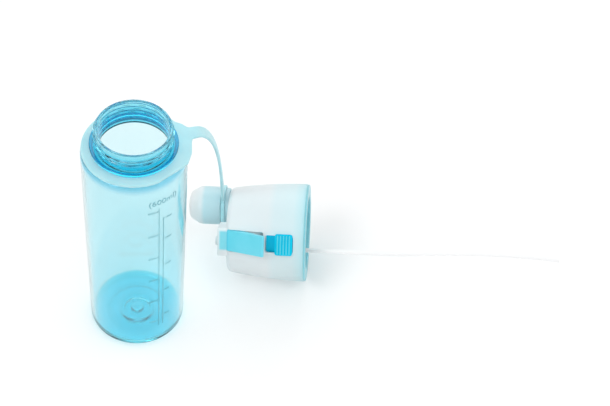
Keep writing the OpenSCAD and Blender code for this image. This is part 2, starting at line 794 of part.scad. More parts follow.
module spray_duct() {
    run = nozzle_x - valve_x;
    color([0.93, 0.94, 0.94]) in_lid() difference() {
        union() {
            at_outlet(outlet_top) cylinder(r = outlet_r, h = duct_z + duct_r - outlet_top, $fn = SMALL_FN);
            along_x(valve_x, pump_side, duct_z) cylinder(r = duct_r, h = run, $fn = SMALL_FN);
            translate([nozzle_x, pump_side, duct_z - duct_r])
                cylinder(r = duct_r, h = nozzle_base_z + duct_lap - duct_z + duct_r, $fn = SMALL_FN);
        }
        at_outlet(outlet_top - CUT) cylinder(r = duct_bore_r, h = duct_z - outlet_top + CUT, $fn = SMALL_FN);
        along_x(valve_x - duct_bore_r, pump_side, duct_z)
            cylinder(r = duct_bore_r, h = run + 2 * duct_bore_r, $fn = SMALL_FN);
        translate([nozzle_x, pump_side, duct_z])
            cylinder(r = duct_bore_r, h = hood_top - duct_z, $fn = SMALL_FN);
    }
}

module nozzle() {
    bore_r = duct_r + socket_fit;
    color([0.86, 0.9, 0.91]) in_lid() translate([nozzle_x, pump_side, 0]) spin([
        [bore_r, nozzle_base_z],
        [nozzle_r, nozzle_base_z],
        [nozzle_r, nozzle_shoulder_z],
        [nozzle_tip_r, nozzle_shoulder_z + nozzle_edge],
        [nozzle_tip_r, nozzle_top - nozzle_edge],
        [nozzle_tip_r - nozzle_edge, nozzle_top],
        [orifice_r + nozzle_dish, nozzle_top],
        [orifice_r, nozzle_top - nozzle_edge],
        [orifice_r, nozzle_top - nozzle_face_t],
        [bore_r, nozzle_top - nozzle_face_t]
    ], SMALL_FN);
}

module swirl_insert() {
    color([0.93, 0.94, 0.94]) in_lid()
        translate([nozzle_x, pump_side, nozzle_top - nozzle_face_t - insert_t]) difference() {
            cylinder(r = duct_r, h = insert_t, $fn = SMALL_FN);
            for (a = [0:120:240]) rotate([0, 0, a])
                translate([duct_r - swirl_slot[0], -swirl_slot[1] / 2, -CUT])
                    cube([duct_r, swirl_slot[1], insert_t + 2 * CUT]);
        }
}

// ---- trigger, lock and dip tube ----

module trigger_lever() {
    inner_top = [head_front - face_nx * lever_t, face_top_z - face_nz * lever_t];
    skirt_end_x = face_x(skirt_end_z);
    pusher_root = face_x(pump_z) - lever_t / 2 - pusher_x - pusher_r;
    skirt_back = [face_nx, face_nz] * skirt_depth;
    color([0.4, 0.85, 0.93]) in_lid() difference() {
        union() {
            slab_xz([
                [head_back, face_top_z + 1],
                [head_back, head_top - head_corner[0]],
                [head_back + head_corner[0], head_top],
                [head_front - head_corner[1], head_top],
                [head_front, head_top - head_corner[1]],
                [head_front, face_top_z],
                [tip_x, tip_z],
                [tip_x - face_nx * tip_bevel, tip_z - face_nz * tip_bevel],
                [face_x(tip_z + tip_bevel) - face_nx * lever_t, tip_z + tip_bevel - face_nz * lever_t],
                inner_top
            ], lever_w);
            for (side = [-1, 1]) translate([0, side * (lever_w - lever_skirt_t) / 2, 0]) slab_xz([
                [head_front - 2 * skirt_bite, face_top_z],
                [skirt_end_x - skirt_bite, skirt_end_z],
                [skirt_end_x - skirt_back.x, skirt_end_z - skirt_back.y + 1],
                [head_front - skirt_back.x, face_top_z - skirt_back.y]
            ], lever_skirt_t);
            translate([pusher_x + pusher_r, pump_side, pump_z]) rotate([90, 0, 0])
                cylinder(r = pusher_r, h = pusher_w, center = true, $fn = SMALL_FN);
            translate([pusher_x + pusher_r, pump_side - pusher_w / 2, pump_z - pusher_block_t / 2])
                cube([pusher_root, pusher_w, pusher_block_t]);
        }
        translate([hinge_x, 0, hinge_z]) rotate([90, 0, 0])
            cylinder(r = pin_d / 2 + pin_gap, h = lever_w + 2 * CUT, center = true, $fn = SMALL_FN);
    }
}

module trigger_pin() {
    color("silver") in_lid() translate([hinge_x, hood_far - pin_inset, hinge_z]) rotate([90, 0, 0])
        cylinder(r = pin_d / 2, h = hood_near + hood_far - 2 * pin_inset, $fn = SMALL_FN);
}

module curved_plate(r_in, r_out, width, z0, z1) {
    intersection() {
        translate([0, 0, z0]) tube(r_out, r_in, z1 - z0);
        translate([0, -width / 2, z0 - CUT]) cube([2 * r_out, width, z1 - z0 + 2 * CUT]);
    }
}

module lock_slider() {
    pad_r = pad_in_r + pad_t;
    rib_step = (lock_len - 2 * rib_w) / rib_count;
    color([0.05, 0.74, 0.88]) in_lid() union() {
        curved_plate(plate_in_r, plate_out_r, plate_w, lock_window[0] - plate_lap[0], plate_top);
        curved_plate(plate_out_r - BOND, pad_in_r + BOND, tongue_w, lock_pad_z, lock_pad_z + lock_len);
        curved_plate(pad_in_r, pad_r, lock_w, lock_pad_z, lock_pad_z + lock_len);
        curved_plate(plate_out_r - BOND, tongue_r, tongue_w, lock_pad_z + lock_len - BOND, plate_top);
        for (i = [0:rib_count - 1])
            let (z = lock_pad_z + rib_w + (i + 0.5) * rib_step - rib_w / 2)
            curved_plate(pad_r - BOND, pad_r + rib_proud, lock_w - 2 * rib_inset, z, z + rib_w);
    }
}

TUBE_SIDES = 12;
BEND_STEPS = 8;
// places along the tube's middle as [across, height, heading], heading 0 being straight down
function ahead(place, length) =
    [place.x + length * sin(place.z), place.y - length * cos(place.z), place.z];
function bend_places(start, angle) = [
    for (i = [1:BEND_STEPS])
        let (r = sign(angle) * tube_curl_r, h0 = start.z, h1 = h0 + angle * i / BEND_STEPS)
        [start.x + r * (cos(h0) - cos(h1)), start.y - r * (sin(h1) - sin(h0)), h1]
];
function last(list) = list[len(list) - 1];
rim_place = [0, -tube_straight, 0];
first_bend = bend_places(rim_place, tube_first_bend);
middle_place = ahead(last(first_bend), tube_middle);
return_bend = bend_places(middle_place, -tube_return_bend);
tube_places = concat([rim_place], first_bend, [middle_place], return_bend);
function tube_ring(place, r) = [
    for (j = [0:TUBE_SIDES - 1])
        let (b = 360 * j / TUBE_SIDES)
        [place.x + r * cos(b) * cos(place.z), -r * sin(b), place.y + r * cos(b) * sin(place.z)]
];

module tube_run(r, top, tail) {
    places = concat([[0, top, 0]], tube_places, [ahead(last(return_bend), tail)]);
    sweep([for (place = places) tube_ring(place, r)]);
}

module dip_tube() {
    top = tube_plug_z - tube_end_gap;
    color([0.92, 0.94, 0.95]) in_lid() at_inlet(0) rotate([0, 0, curl_heading]) difference() {
        tube_run(tube_r, top, tube_tail);
        tube_run(tube_bore / 2, top + CUT, tube_tail + CUT);
    }
}

bottle_body();
strap_collar();
strap_band();
strap_end_ring();
dust_cap();
outer_shell();
inner_cap();
lid_gasket();
drink_spout();
spout_seal();
pump_body();
inlet_ball();
outlet_ball();
pump_gland();
piston();
piston_ring();
return_spring();
spray_duct();
nozzle();
swirl_insert();
trigger_lever();
trigger_pin();
lock_slider();
dip_tube();
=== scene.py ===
"""A clear wide-mouth sports bottle with its mist-pump lid lying beside it, tied on by a silicone strap."""

import json
import math

import bmesh
import bpy
from mathutils import Matrix, Vector


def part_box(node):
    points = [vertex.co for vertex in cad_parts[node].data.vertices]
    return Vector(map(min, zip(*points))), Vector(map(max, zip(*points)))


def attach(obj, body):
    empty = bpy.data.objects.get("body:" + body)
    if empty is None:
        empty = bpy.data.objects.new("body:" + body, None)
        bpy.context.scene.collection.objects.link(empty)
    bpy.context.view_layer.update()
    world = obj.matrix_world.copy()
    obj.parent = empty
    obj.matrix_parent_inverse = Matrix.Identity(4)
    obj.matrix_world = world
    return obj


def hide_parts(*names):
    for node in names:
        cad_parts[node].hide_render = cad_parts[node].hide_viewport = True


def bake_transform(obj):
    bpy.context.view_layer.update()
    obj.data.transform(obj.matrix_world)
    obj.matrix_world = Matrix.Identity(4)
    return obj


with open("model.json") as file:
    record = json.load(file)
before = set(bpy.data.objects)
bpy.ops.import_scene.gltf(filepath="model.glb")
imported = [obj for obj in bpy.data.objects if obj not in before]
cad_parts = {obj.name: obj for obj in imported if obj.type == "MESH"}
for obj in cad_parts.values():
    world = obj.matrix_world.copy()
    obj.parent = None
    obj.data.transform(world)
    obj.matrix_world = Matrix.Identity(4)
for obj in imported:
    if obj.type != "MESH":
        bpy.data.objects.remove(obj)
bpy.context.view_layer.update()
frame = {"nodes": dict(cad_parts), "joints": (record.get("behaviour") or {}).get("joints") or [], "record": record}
JOINTS = {j["name"]: j for j in frame["joints"]}
MM = 0.001

# ---------------------------------------------------------------- sizes, in millimetres

# the lid's own frame, from its joints: Z towards the spout, X towards the trigger
HINGE_X = 28.5
HINGE_Z = 65.2
LID_Z = -Vector(JOINTS["cap_pull"]["axis"]).normalized()
LID_Y = Vector(JOINTS["trigger_press"]["axis"]).normalized()
LID_X = LID_Y.cross(LID_Z)
LID_ORIGIN = Vector(JOINTS["trigger_press"]["pos_m"]) - (LID_X * HINGE_X + LID_Z * HINGE_Z) * MM
LID = Matrix((
    (LID_X.x * MM, LID_Y.x * MM, LID_Z.x * MM, LID_ORIGIN.x),
    (LID_X.y * MM, LID_Y.y * MM, LID_Z.y * MM, LID_ORIGIN.y),
    (LID_X.z * MM, LID_Y.z * MM, LID_Z.z * MM, LID_ORIGIN.z),
    (0, 0, 0, 1),
))
WORLD = Matrix.Scale(MM, 4)

# bottle
BODY_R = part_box("bottle_body")[1].x / MM
NECK_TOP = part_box("bottle_body")[1].z / MM
BASE_R = BODY_R - 1.75
SHOULDER = NECK_TOP - 21
WALL = 2.0
FLOOR_T = 3.0
MOUTH_R = 25.0
NECK_R = 27.0
NECK_ROOT_R = 28.5
BEAD_Z = SHOULDER + 4.5
BEAD_T = 2.0
BEAD_R = 31.2
THREAD_R = 28.3
THREAD_PITCH = 3.5
THREAD_START = BEAD_Z + BEAD_T + 2.2
THREAD_TURNS = 2.6
THREAD_W = 2.1
THREAD_RUN_IN = 0.12
THREAD_FLANK = 0.45

# lid
RIM_R = 38.7
LID_H = 62.5
BARREL_K = 5.6 / LID_H ** 2
SHELL_WALL = 2.0
SHELL_ROUND = 5.0
RIM_LIP = 1.4
HOOD_BACK = 12.5
HOOD_SIDES = (-13.5, 10.0)
HOOD_R = 33.9
HOOD_NOSE = (-22.8, 16.6)
HOOD_TOP = LID_H + 6.2
HOOD_WALL = 1.8
HOOD_ROOF = 0.9
ROOM_FRONT = 32.6
ROOM_FLOOR = 55.5
PAST_SHELL = 60
SLOT_W = 17.2
HEAD_TOP = HOOD_TOP - HOOD_ROOF - 0.4
LEVER_W = 16.5
LEVER_WINDOW = (32.7, 61.3)
LOCK_WINDOW = (9.4, 31.0)
LOCK_W = 17.0
TONGUE_W = 12.8
WINDOW_GAP = 0.6
PIN_R = 1.25
SOCKET_R = 28.9
SOCKET_THREAD_R = 27.6
SOCKET_THREAD_START = 2.0
SOCKET_DEPTH = 15.5
SKIRT_R = 30.9
DECK_TOP = 18.2
DECK_CUT = (10, 25)

# spout and dust cap
SPOUT_R = 11.0
SPOUT_BORE_R = 9.2
SPOUT_TOP = LID_H + 20.5
SPOUT_OFFSET = 18.9
SPOUT_BEARING = math.radians(116)
SPOUT_AT = (SPOUT_OFFSET * math.cos(SPOUT_BEARING), SPOUT_OFFSET * math.sin(SPOUT_BEARING))
CAP_R = 15.16
CAP_BASE = LID_H + 0.6
CAP_TOP = LID_H + 33
CAP_WALL = 1.6
GRIP_R = 11.06
PLUG_R = (7.54, 9.14)
GROOVE_R = GRIP_R + CAP_WALL
GROOVE_Z = CAP_BASE + 3.1
END_RING_T = 3.0
END_RING_R = GROOVE_R + 3.9

# pump, nozzle and tube
VALVE_X = 10.0
PUMP_SIDE = -4.0
PUMP_Z = 42.0
SPRING_X = (24.05, 33.6)
SPRING_R = 3.3
SPRING_TURNS = 5
SPRING_WIRE_R = 0.35
INLET_Y = PUMP_SIDE - 7.5
NOZZLE_X = 19.5
NOZZLE_R = 4.2
NOZZLE_TIP_R = 3.4
NOZZLE_BASE = 62
TUBE_R = 1.8
TUBE_BORE_R = 1.1
TUBE_TOP = 25.8
TUBE_REACH = 198.0
TUBE_CURL_R = 650.0
TUBE_STRAIGHT = 50.0
TUBE_MIDDLE = 20.0
TUBE_BENDS = (3.3, -8.0)
TUBE_HEADING = 104.0
FOOT_R = 4.0
ON_SPOUT = LID @ Matrix.Translation((*SPOUT_AT, 0))
ON_INLET = LID @ Matrix.Translation((VALVE_X, INLET_Y, 0))
ON_NOZZLE = LID @ Matrix.Translation((NOZZLE_X, PUMP_SIDE, 0))

# strap
STRAP_T = 2.2
BAND_W = 10.0
COLLAR_R = 37.0
COLLAR_Z = SHOULDER + 0.1
TAB_R = 40.7
BAND_START_PULL = 20.0
BAND_END_PULL = 24.0
BAND_LANDING = -14.0
COLLAR_GAP = 0.4
STRAP_VOXEL = 0.45


def barrel_r(z):
    """The barrel's outer radius at a height: it narrows away from the rim."""
    return RIM_R - BARREL_K * z * z


# ---------------------------------------------------------------- mesh helpers

def polar(r, degrees):
    a = math.radians(degrees)
    return r * math.cos(a), r * math.sin(a)


def rounded(points, closed=False, steps=6):
    """Corner points (x, y, radius) turned into an outline with each corner rounded by its radius."""
    out = []
    count = len(points)
    for i, (x, y, radius) in enumerate(points):
        here = Vector((x, y))
        if radius <= 0 or (not closed and i in (0, count - 1)):
            out.append((x, y))
            continue
        before = Vector(points[i - 1][:2]) - here
        after = Vector(points[(i + 1) % count][:2]) - here
        half = before.angle(after) / 2
        reach = min(radius / math.tan(half), before.length * 0.49, after.length * 0.49)
        p, q = here + before.normalized() * reach, here + after.normalized() * reach
        for k in range(steps + 1):
            t = k / steps
            point = p.lerp(here, t).lerp(here.lerp(q, t), t)
            out.append((point.x, point.y))
    return out


def make(name, verts, faces, matrix, smooth_angle=35):
    """A mesh object from points in millimetres, which the matrix places in metres."""
    mesh = bpy.data.meshes.new(name)
    mesh.from_pydata([matrix @ Vector(v) for v in verts], [], faces)
    mesh.update()
    obj = bpy.data.objects.new(name, mesh)
    bpy.context.scene.collection.objects.link(obj)
    tidy(obj, smooth_angle)
    return obj


def tidy(obj, smooth_angle=35):
    """Turns the faces outwards and shades them smooth, with edges over the angle kept sharp."""
    bm = bmesh.new()
    bm.from_mesh(obj.data)
    bmesh.ops.recalc_face_normals(bm, faces=bm.faces)
    bm.to_mesh(obj.data)
    bm.free()
    obj.data.polygons.foreach_set("use_smooth", [True] * len(obj.data.polygons))
    obj.data.set_sharp_from_angle(angle=math.radians(smooth_angle))


def lathe(name, profile, matrix, segments=160, closed=False, wave=None, smooth_angle=35):
    """Turns (r, z) points round the Z axis. wave(angle, r, z) may return another radius."""
    verts, rings = [], []
    for r, z in profile:
        if r < 1e-6:
            rings.append([len(verts)])
            verts.append((0, 0, z))
            continue
        ring = []
        for j in range(segments):
            a = 2 * math.pi * j / segments
            radius = wave(a, r, z) if wave else r
            ring.append(len(verts))
            verts.append((radius * math.cos(a), radius * math.sin(a), z))
        rings.append(ring)
    faces = []
    pairs = list(zip(rings, rings[1:]))
    if closed:
        pairs.append((rings[-1], rings[0]))
    for low, high in pairs:
        for j in range(segments):
            k = (j + 1) % segments
            if len(low) == 1 and len(high) == 1:
                continue
            if len(low) == 1:
                faces.append((low[0], high[k], high[j]))
            elif len(high) == 1:
                faces.append((low[j], low[k], high[0]))
            else:
                faces.append((low[j], low[k], high[k], high[j]))
    return make(name, verts, faces, matrix, smooth_angle)


def drill(r, low, high, matrix, segments):
    """A round cutter along the local Z axis."""
    return lathe("cut", [(0, low), (r, low), (r, high), (0, high)], matrix, segments)


def extrude(name, outline, low, high, matrix, plane="xy"):
    """A flat outline given thickness: along Z, or along Y for an outline in X and Z."""
    count = len(outline)
    if plane == "xy":
        verts = [(x, y, low) for x, y in outline] + [(x, y, high) for x, y in outline]
    else:
        verts = [(x, low, y) for x, y in outline] + [(x, high, y) for x, y in outline]
    faces = [tuple(range(count)), tuple(range(2 * count - 1, count - 1, -1))]
    faces += [(i, (i + 1) % count, count + (i + 1) % count, count + i) for i in range(count)]
    return make(name, verts, faces, matrix)


def sweep(name, centres, wides, section, matrix):
    """Carries a section of (across, through) points along centres; wides are the across directions."""
    centres = [Vector(c) for c in centres]
    verts, faces = [], []
    count, sides = len(centres), len(section)
    for i, c in enumerate(centres):
        along = (centres[min(i + 1, count - 1)] - centres[max(i - 1, 0)]).normalized()
        wide = Vector(wides[i])
        wide = (wide - along * wide.dot(along)).normalized()
        through = along.cross(wide)
        verts += [c + wide * a + through * b for a, b in section]
    for i in range(count - 1):
        for j in range(sides):
            k = (j + 1) % sides
            faces.append((i * sides + j, i * sides + k, (i + 1) * sides + k, (i + 1) * sides + j))
    faces.append(tuple(range(sides)))
    faces.append(tuple((count - 1) * sides + j for j in reversed(range(sides))))
    return make(name, verts, faces, matrix)


def apply_modifiers(obj):
    dg = bpy.context.evaluated_depsgraph_get()
    mesh = bpy.data.meshes.new_from_object(obj.evaluated_get(dg))
    obj.modifiers.clear()
    old = obj.data
    obj.data = mesh
    bpy.data.meshes.remove(old)
    return obj


def combine(obj, other, operation):
    """Adds or cuts other, which is used up."""
    m = obj.modifiers.new("combine", "BOOLEAN")
    m.operation = operation
    m.solver = "EXACT"
    m.object = other
    apply_modifiers(obj)
    bpy.data.objects.remove(other)
    return obj


def soften(obj, width, segments=2, angle=40):
    """Bevels the edges over the angle."""
    m = obj.modifiers.new("soften", "BEVEL")
    m.width = width * MM
    m.segments = segments
    m.limit_method = "ANGLE"
    m.angle_limit = math.radians(angle)
    m.harden_normals = False
    apply_modifiers(obj)
    tidy(obj, 40)
    return obj


def joined(name, objects):
    """Several meshes as one piece."""
    bm = bmesh.new()
    for o in objects:
        o.data.transform(o.matrix_world)
        bm.from_mesh(o.data)
    mesh = bpy.data.meshes.new(name)
    bm.to_mesh(mesh)
    bm.free()
    for o in objects:
        bpy.data.objects.remove(o)
    obj = bpy.data.objects.new(name, mesh)
    bpy.context.scene.collection.objects.link(obj)
    return obj


def rounded_box(name, low, high, radius, matrix, axis="x"):
    """A box with the four edges along one axis rounded."""
    others = {"x": (1, 2), "z": (0, 1)}[axis]
    a0, a1, b0, b1 = low[others[0]], high[others[0]], low[others[1]], high[others[1]]
    outline = rounded([(a0, b0, radius), (a1, b0, radius), (a1, b1, radius), (a0, b1, radius)], closed=True)
    if axis == "z":
        return extrude(name, outline, low[2], high[2], matrix)
    count = len(outline)
    verts = [(low[0], a, b) for a, b in outline] + [(high[0], a, b) for a, b in outline]
    faces = [tuple(range(count)), tuple(range(2 * count - 1, count - 1, -1))]
    faces += [(i, (i + 1) % count, count + (i + 1) % count, count + i) for i in range(count)]
    return make(name, verts, faces, matrix)


# ---------------------------------------------------------------- materials

def node_material(name):
    mat = bpy.data.materials.new(name)
    mat.use_nodes = True
    nodes, links = mat.node_tree.nodes, mat.node_tree.links
    shader = nodes["Principled BSDF"]
    return mat, nodes, links, shader


def mottled(nodes, links, socket, low, high, scale):
    """Slow colour variation between two near colours, in the object's own space."""
    place = nodes.new("ShaderNodeTexCoord")
    noise = nodes.new("ShaderNodeTexNoise")
    noise.inputs["Scale"].default_value = scale
    noise.inputs["Detail"].default_value = 3
    ramp = nodes.new("ShaderNodeValToRGB")
    ramp.color_ramp.elements[0].position = 0.35
    ramp.color_ramp.elements[1].position = 0.65
    ramp.color_ramp.elements[0].color = (*low, 1)
    ramp.color_ramp.elements[1].color = (*high, 1)
    links.new(place.outputs["Object"], noise.inputs["Vector"])
    links.new(noise.outputs["Fac"], ramp.inputs["Fac"])
    links.new(ramp.outputs["Color"], socket)


def grained(nodes, links, shader, scale, strength, distance=0.0001, low=0.3, high=0.5):
    """Fine moulded grain: bump and a matching change of roughness."""
    place = nodes.new("ShaderNodeTexCoord")
    noise = nodes.new("ShaderNodeTexNoise")
    noise.inputs["Scale"].default_value = scale
    noise.inputs["Detail"].default_value = 4
    bump = nodes.new("ShaderNodeBump")
    bump.inputs["Strength"].default_value = strength
    bump.inputs["Distance"].default_value = distance
    rough = nodes.new("ShaderNodeMapRange")
    rough.inputs["To Min"].default_value = low
    rough.inputs["To Max"].default_value = high
    links.new(place.outputs["Object"], noise.inputs["Vector"])
    links.new(noise.outputs["Fac"], bump.inputs["Height"])
    links.new(noise.outputs["Fac"], rough.inputs["Value"])
    links.new(bump.outputs["Normal"], shader.inputs["Normal"])
    links.new(rough.outputs["Result"], shader.inputs["Roughness"])


def set_stops(ramp, stops):
    """Gives a colour ramp its (position, colour) stops; the first is at 0 and the last at 1."""
    ramp.color_ramp.elements[0].color = (*stops[0][1], 1)
    ramp.color_ramp.elements[1].color = (*stops[-1][1], 1)
    for at, colour in stops[1:-1]:
        ramp.color_ramp.elements.new(at).color = (*colour, 1)


def product(nodes, links, a, b):
    both = nodes.new("ShaderNodeMath")
    both.operation = "MULTIPLY"
    links.new(a, both.inputs[0])
    links.new(b, both.inputs[1])
    return both.outputs["Value"]


def band_mask(nodes, links, value, low, high, soft):
    """1 between low and high, falling to 0 over the soft width outside them."""
    sides = []
    for start, end in ((low - soft, low), (high + soft, high)):
        side = nodes.new("ShaderNodeMapRange")
        side.interpolation_type = "SMOOTHSTEP"
        side.inputs["From Min"].default_value = start * MM
        side.inputs["From Max"].default_value = end * MM
        links.new(value, side.inputs["Value"])
        sides.append(side.outputs["Result"])
    return product(nodes, links, *sides)


def faded(nodes, links, socket, z_low, z_high, stops, patch=None):
    """Colour that changes along the lid's own axis, from height z_low to z_high above its rim.
    A patch is a box in the lid's frame where what lies behind the frosted wall tints it."""
    place = nodes.new("ShaderNodeTexCoord")
    turn = nodes.new("ShaderNodeMapping")
    to_lid = Matrix((LID_X, LID_Y, LID_Z)).to_4x4()
    turn.inputs["Rotation"].default_value = to_lid.to_euler()
    turn.inputs["Location"].default_value = -(to_lid @ LID_ORIGIN)
    parts = nodes.new("ShaderNodeSeparateXYZ")
    height = nodes.new("ShaderNodeMapRange")
    height.inputs["From Min"].default_value = z_low * MM
    height.inputs["From Max"].default_value = z_high * MM
    ramp = nodes.new("ShaderNodeValToRGB")
    set_stops(ramp, stops)
    links.new(place.outputs["Object"], turn.inputs["Vector"])
    links.new(turn.outputs["Vector"], parts.inputs["Vector"])
    links.new(parts.outputs["Z"], height.inputs["Value"])
    links.new(height.outputs["Result"], ramp.inputs["Fac"])
    if not patch:
        links.new(ramp.outputs["Color"], socket)
        return
    spans, soft, tint = patch
    mask = None
    for axis, (low, high) in zip("XYZ", spans):
        part = band_mask(nodes, links, parts.outputs[axis], low, high, soft)
        mask = part if mask is None else product(nodes, links, mask, part)
    blend = nodes.new("ShaderNodeMix")
    blend.data_type = "RGBA"
    blend.inputs["B"].default_value = (*tint, 1)
    links.new(mask, blend.inputs["Factor"])
    links.new(ramp.outputs["Color"], blend.inputs["A"])
    links.new(blend.outputs["Result"], socket)


def lets_lamps_through(nodes, links, shader, share):
    """Light from lamps passes the piece in part, as it does through clear plastic."""
    path = nodes.new("ShaderNodeLightPath")
    clear = nodes.new("ShaderNodeBsdfTransparent")
    clear.inputs["Color"].default_value = (*share, 1)
    mix = nodes.new("ShaderNodeMixShader")
    links.new(path.outputs["Is Shadow Ray"], mix.inputs["Fac"])
    links.new(shader.outputs["BSDF"], mix.inputs[1])
    links.new(clear.outputs["BSDF"], mix.inputs[2])
    links.new(mix.outputs["Shader"], nodes["Material Output"].inputs["Surface"])


def clear_plastic():
    """Tinted clear plastic: pale walls, a deep tint in the thick base and in the neck."""
    mat, nodes, links, shader = node_material("bottle_clear")
    shader.inputs["Transmission Weight"].default_value = 1.0
    shader.inputs["IOR"].default_value = 1.49
    place = nodes.new("ShaderNodeTexCoord")
    parts = nodes.new("ShaderNodeSeparateXYZ")
    height = nodes.new("ShaderNodeMapRange")
    height.inputs["From Max"].default_value = NECK_TOP * MM
    ramp = nodes.new("ShaderNodeValToRGB")
    stops = [
        (0.0, (0.13, 0.74, 0.86)),
        (0.006, (0.15, 0.76, 0.87)),
        (0.0175, (0.07, 0.69, 0.84)),
        (0.0225, (0.05, 0.67, 0.83)),
        (0.026, (0.62, 0.90, 0.95)),
        (0.30, (0.70, 0.92, 0.955)),
        (0.86, (0.72, 0.92, 0.955)),
        (0.905, (0.02, 0.50, 0.73)),
        (0.945, (0.03, 0.52, 0.75)),
        (0.975, (0.20, 0.73, 0.87)),
        (1.0, (0.42, 0.84, 0.93)),
    ]
    set_stops(ramp, stops)
    links.new(place.outputs["Object"], parts.inputs["Vector"])
    links.new(parts.outputs["Z"], height.inputs["Value"])
    links.new(height.outputs["Result"], ramp.inputs["Fac"])
    links.new(ramp.outputs["Color"], shader.inputs["Base Color"])
    grained(nodes, links, shader, 45, 0.12, 0.0003, 0.02, 0.06)
    lets_lamps_through(nodes, links, shader, (0.965, 0.985, 0.99))
    return mat


def frosted(name, transmission, rough, colours=None, fade=None):
    """Frosted translucent plastic: two near colours mixed slowly, or a fade along the lid's axis."""
    mat, nodes, links, shader = node_material(name)
    if fade:
        faded(nodes, links, shader.inputs["Base Color"], *fade)
    else:
        mottled(nodes, links, shader.inputs["Base Color"], *colours, 30)
    shader.inputs["Transmission Weight"].default_value = transmission
    shader.inputs["IOR"].default_value = 1.46
    grained(nodes, links, shader, 2200, 0.25, 0.00005, rough - 0.06, rough + 0.06)
    lets_lamps_through(nodes, links, shader, (0.965, 0.965, 0.965))
    return mat


def moulded(name, low, high, rough=0.32, transmission=0.0, scale=900, coat=0.0, shine=0.5):
    """Opaque or slightly translucent moulded plastic."""
    mat, nodes, links, shader = node_material(name)
    mottled(nodes, links, shader.inputs["Base Color"], low, high, 60)
    shader.inputs["Transmission Weight"].default_value = transmission
    shader.inputs["Coat Weight"].default_value = coat
    shader.inputs["Specular IOR Level"].default_value = shine
    grained(nodes, links, shader, scale, 0.18, 0.00005, rough - 0.05, rough + 0.07)
    return mat


def silicone(name, low, high):
    """Matte translucent silicone with a soft scatter and dusty grain."""
    mat, nodes, links, shader = node_material(name)
    mottled(nodes, links, shader.inputs["Base Color"], low, high, 80)
    shader.inputs["Subsurface Weight"].default_value = 0.5
    shader.inputs["Subsurface Radius"].default_value = (0.6, 1.0, 1.0)
    shader.inputs["Subsurface Scale"].default_value = 0.002
    shader.inputs["Sheen Weight"].default_value = 0.15
    shader.inputs["Sheen Roughness"].default_value = 0.5
    grained(nodes, links, shader, 1600, 0.3, 0.00005, 0.5, 0.68)
    return mat


def steel(name):
    mat, nodes, links, shader = node_material(name)
    mottled(nodes, links, shader.inputs["Base Color"], (0.6, 0.62, 0.65), (0.72, 0.73, 0.75), 300)
    shader.inputs["Metallic"].default_value = 1.0
    grained(nodes, links, shader, 3000, 0.1, 0.00002, 0.2, 0.32)
    return mat


# the spout's cyan shows through the cap up to the spout's end
CAP_FADE = [
    (0.0, (0.68, 0.91, 0.96)),
    (0.60, (0.70, 0.915, 0.96)),
    (0.68, (0.90, 0.965, 0.98)),
    (1.0, (0.985, 0.99, 0.99)),
]
# the inner cap's cyan shows through the shell near its rim
SHELL_FADE = [
    (0.0, (0.46, 0.86, 0.94)),
    (0.06, (0.68, 0.92, 0.96)),
    (0.15, (0.80, 0.945, 0.97)),
    (0.36, (0.83, 0.95, 0.975)),
    (0.44, (0.91, 0.965, 0.98)),
    (0.85, (0.93, 0.97, 0.983)),
    (1.0, (0.92, 0.97, 0.98)),
]
# spans in X, Y and Z of the lid's frame, the soft width round them, and the tint
HEAD_BEHIND_HOOD = (((30, 60), (-6.5, 6.5), (55, HEAD_TOP - 1.5)), 2.0, (0.30, 0.84, 0.93))

MATERIALS = {
    "bottle_clear": clear_plastic(),
    "strap_silicone": silicone("strap_silicone", (0.42, 0.72, 0.78), (0.47, 0.76, 0.81)),
    "cap_frosted": frosted("cap_frosted", 0.35, 0.45, fade=(CAP_BASE, CAP_TOP, CAP_FADE)),
    "shell_frosted": frosted("shell_frosted", 0.3, 0.45, fade=(0, HOOD_TOP, SHELL_FADE, HEAD_BEHIND_HOOD)),
    "cap_inner": moulded("cap_inner", (0.34, 0.84, 0.94), (0.39, 0.87, 0.95), 0.3, 0.35),
    "spout_cyan": moulded("spout_cyan", (0.22, 0.70, 0.83), (0.27, 0.74, 0.86), 0.3, 0.4),
    "seal_silicone": silicone("seal_silicone", (0.80, 0.85, 0.86), (0.86, 0.90, 0.90)),
    "pump_plastic": moulded("pump_plastic", (0.78, 0.84, 0.86), (0.83, 0.88, 0.89), 0.35),
    "steel": steel("steel"),
    "nozzle_frosted": frosted("nozzle_frosted", 0.3, 0.4, ((0.80, 0.87, 0.89), (0.84, 0.90, 0.91))),
    "trigger_cyan": moulded("trigger_cyan", (0.16, 0.74, 0.89), (0.20, 0.77, 0.92), 0.3, 0.0, 700, 0.1),
    "lock_cyan": moulded("lock_cyan", (0.0, 0.58, 0.82), (0.0, 0.62, 0.86), 0.4, 0.0, 700, 0.0, 0.12),
    "tube_clear": frosted("tube_clear", 0.15, 0.35, ((0.97, 0.975, 0.98), (0.985, 0.99, 0.99))),
}
# other materials for a slot's pieces: a lighter copy of the lock's cyan for the ribs, which is a painted highlight
# on the ribs with the pad between them left darker as painted shade, and the graduation marks' own darker teal
MATERIALS["lock_ribs_painted_highlight"] = moulded(
    "lock_ribs_painted_highlight", (0.07, 0.66, 0.82), (0.10, 0.69, 0.84), 0.35, 0.0, 700, 0.0, 0.3)
MATERIALS["mark"] = moulded("mark", (0.16, 0.48, 0.56), (0.21, 0.53, 0.61), 0.45, 0.2)


def finish_piece(obj, body, slot, *replaced, material=None):
    """Gives a piece the material of its slot or the one given, hides the CAD nodes it stands for and sets it on
    its body; a piece given no body is left unparented.
    """
    obj.data.materials.clear()
    obj.data.materials.append(MATERIALS[material or slot])
    if replaced:
        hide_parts(*replaced)
    if body:
        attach(obj, body)
    return obj


# ---------------------------------------------------------------- bottle

def steps(low, high, count):
    """count + 1 even values from low to high."""
    return [low + (high - low) * i / count for i in range(count + 1)]


